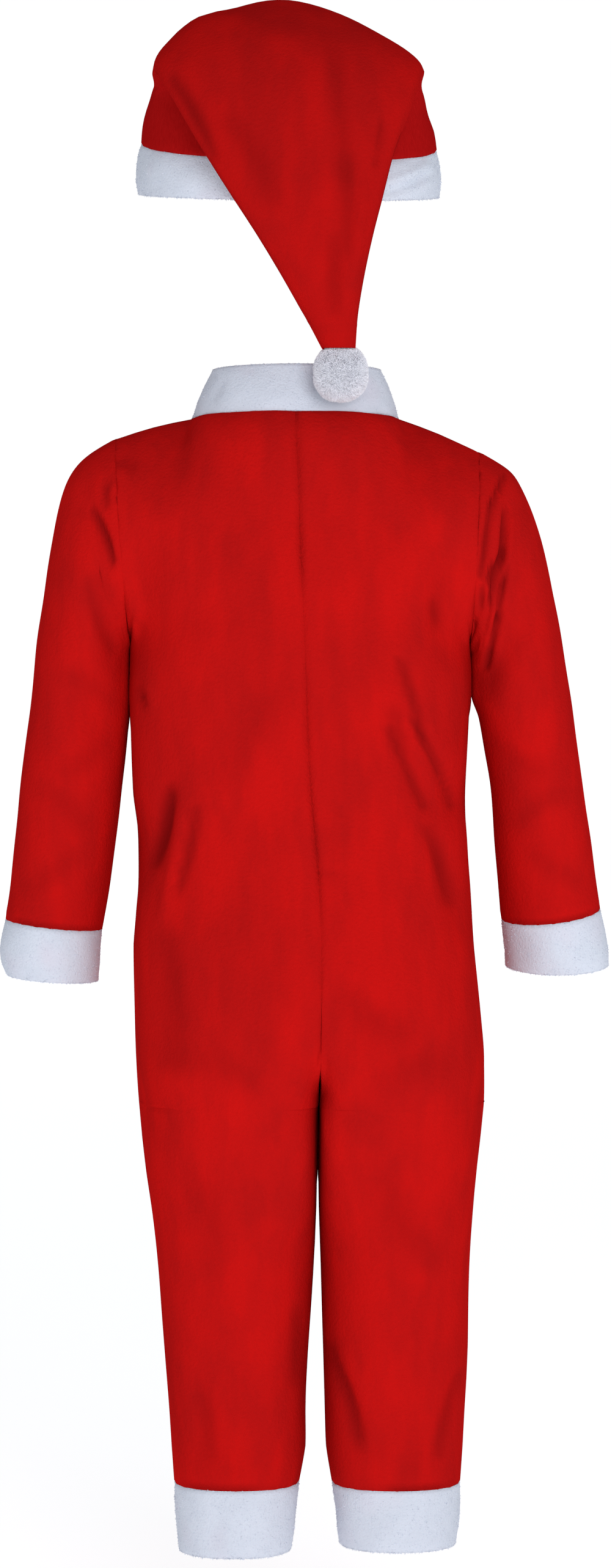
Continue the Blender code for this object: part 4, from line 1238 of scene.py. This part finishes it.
@dataclass
class Pompom:
    """The plush ball on the tail's tip: a lumpy core under a deep, soft pile."""

    finish: Fleece
    core_share: float = 0.885    # the core's radius as a share of the ball's
    squareness: float = 2.35     # 2 is round; the ball is a little fuller at its shoulders
    shares: Triple = (0.93, 0.98, 0.985)  # its width, depth and height
    raised: float = 0.0009       # it sits this much higher, over the tail's tip
    lump: float = 0.0006
    lump_size: float = 0.0055
    divisions: int = 5
    pile: Pile = Pile(per_square_metre=2.2e7, length=0.0022, width=0.00054, lean=(0.0, 0.0, -0.06),
                      spread=0.50, rise=0.90, tuft=0.0036, seed=23)

    def build(self) -> None:
        """Make the core and its pile in the place of the plain solid."""
        low, high = (Vector(corner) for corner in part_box("pompom"))
        middle, radius = (low + high) / 2, max(high - low) / 2
        bm = bmesh.new()
        bmesh.ops.create_icosphere(bm, subdivisions=self.divisions,
                                   radius=radius * self.core_share)
        for vertex in bm.verts:
            way = vertex.co.normalized()
            vertex.co /= sum(abs(part) ** self.squareness for part in way) ** (1 / self.squareness)
            vertex.co += way * self.lump * noise.noise(vertex.co / self.lump_size)
        bmesh.ops.scale(bm, verts=bm.verts, vec=self.shares)
        bmesh.ops.translate(bm, verts=bm.verts, vec=middle + Vector((0.0, 0.0, self.raised)))
        mesh = mesh_of("pompom_core", bm)
        mesh.shade_smooth()
        mesh.materials.append(self.finish.outside())
        core = add_piece("pompom_core", mesh)
        pile = self.pile.grow(core, (Surface.OUTSIDE,), self.finish.strands())
        for piece in (core, pile):
            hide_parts("pompom")


# ---------------------------------------- studio
@dataclass(frozen=True)
class Lamp:
    """A soft rectangular light that looks at the suit."""

    name: str
    place: Triple
    size: float
    power: float


@dataclass
class Studio:
    """A pale floor in a bright room, soft lights and the camera."""

    middle: Triple = (0.0, 0.0, -0.196)
    floor_z: float = -0.665
    reach: float = 30.0
    paper: Colour = (0.93, 0.94, 0.95)
    floor_glow: float = 0.52
    wall_y: float = 12.0         # the glowing wall stands far behind the suit
    wall_size: float = 9.0
    camera_place: Triple = (0.0055, -2.05, -0.196)
    camera_lens: float = 88.5
    camera_sensor: float = 36.0
    lamps: tuple[Lamp, ...] = (
        Lamp("key", (0.50, -2.15, 0.30), 1.0, 18.8),
        Lamp("fill", (-0.15, -2.10, -0.80), 1.4, 4.0),
    )
    glow: float = 0.46           # strength of the room's own light
    glow_colour: Colour = (0.95, 0.97, 1.0)

    def build(self) -> None:
        """Lay the floor, put up the lights and the camera."""
        self.lay_floor()
        for lamp in self.lamps:
            self.add_lamp(lamp)
        world = bpy.data.worlds.new("room")
        world.use_nodes = True
        background = world.node_tree.nodes["Background"]
        background.inputs["Color"].default_value = (*self.glow_colour, 1.0)
        background.inputs["Strength"].default_value = self.glow
        scene = bpy.context.scene
        scene.world = world
        scene.view_settings.view_transform = "Standard"
        data = bpy.data.cameras.new("camera")
        data.lens = self.camera_lens
        data.sensor_width = self.camera_sensor
        scene.camera = put_in_scene("camera", data)
        scene.camera.location = self.camera_place
        scene.camera.rotation_euler = (math.pi / 2, 0.0, 0.0)

    def lay_floor(self) -> None:
        """Lay a wide floor of plain pale paper, with a white glowing wall far behind it."""
        flat = Matrix.Translation((0.0, 0.0, self.floor_z))
        self.add_plain("paper", self.reach, flat,
                       {"Base Color": (*self.paper, 1.0), "Specular IOR Level": 0.0,
                        "Emission Strength": self.floor_glow})
        upright = Matrix.Rotation(math.pi / 2, 4, "X")
        self.add_plain("wall", self.wall_size,
                       Matrix.Translation((0.0, self.wall_y, self.floor_z)) @ upright,
                       {"Base Color": (0.0, 0.0, 0.0, 1.0), "Emission Strength": 1.0})

    @staticmethod
    def add_plain(name: str, size: float, where: Matrix, looks: dict) -> None:
        """Add a plain, matt, glowing square of the stage.

        Args:
            name: Its name.
            size: Half the length of its sides.
            where: Its turn and place.
            looks: The constant values of its shader's other sockets.
        """
        bm = bmesh.new()
        bmesh.ops.create_grid(bm, x_segments=1, y_segments=1, size=size, matrix=where)
        mesh = mesh_of(name, bm)
        material = bpy.data.materials.new(name)
        material.use_nodes = True
        shader = material.node_tree.nodes["Principled BSDF"]
        for key, value in {"Roughness": 1.0, "Emission Color": (*WHITE, 1.0), **looks}.items():
            shader.inputs[key].default_value = value
        mesh.materials.append(material)
        piece = put_in_scene(name, mesh)

    def add_lamp(self, lamp: Lamp) -> None:
        """Hang one lamp and turn it to the suit.

        Args:
            lamp: The lamp.
        """
        data = bpy.data.lights.new(lamp.name, "AREA")
        data.shape = "SQUARE"
        data.size = lamp.size
        data.energy = lamp.power
        light = put_in_scene(lamp.name, data)
        light.location = lamp.place
        way = Vector(self.middle) - Vector(lamp.place)
        light.rotation_euler = way.to_track_quat("-Z", "Y").to_euler()


def main() -> None:
    """Dress the suit on its frame."""
    logging.basicConfig(level=logging.INFO, format="%(message)s")
    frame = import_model()
    solids = frame["nodes"]
    Studio().build()
    Jumpsuit(solids, Velour()).build()
    Hat(solids).build()
    Trim(solids, Fleece()).build()
    plush = Fleece(name="pompom_fleece", slot="pompom_plush", light=(0.925, 0.930, 0.985),
                   shade=(0.875, 0.880, 0.940), blush=(0.930, 0.880, 0.940), patch=0.006)
    Pompom(plush).build()


if __name__ == "__main__":
    main()
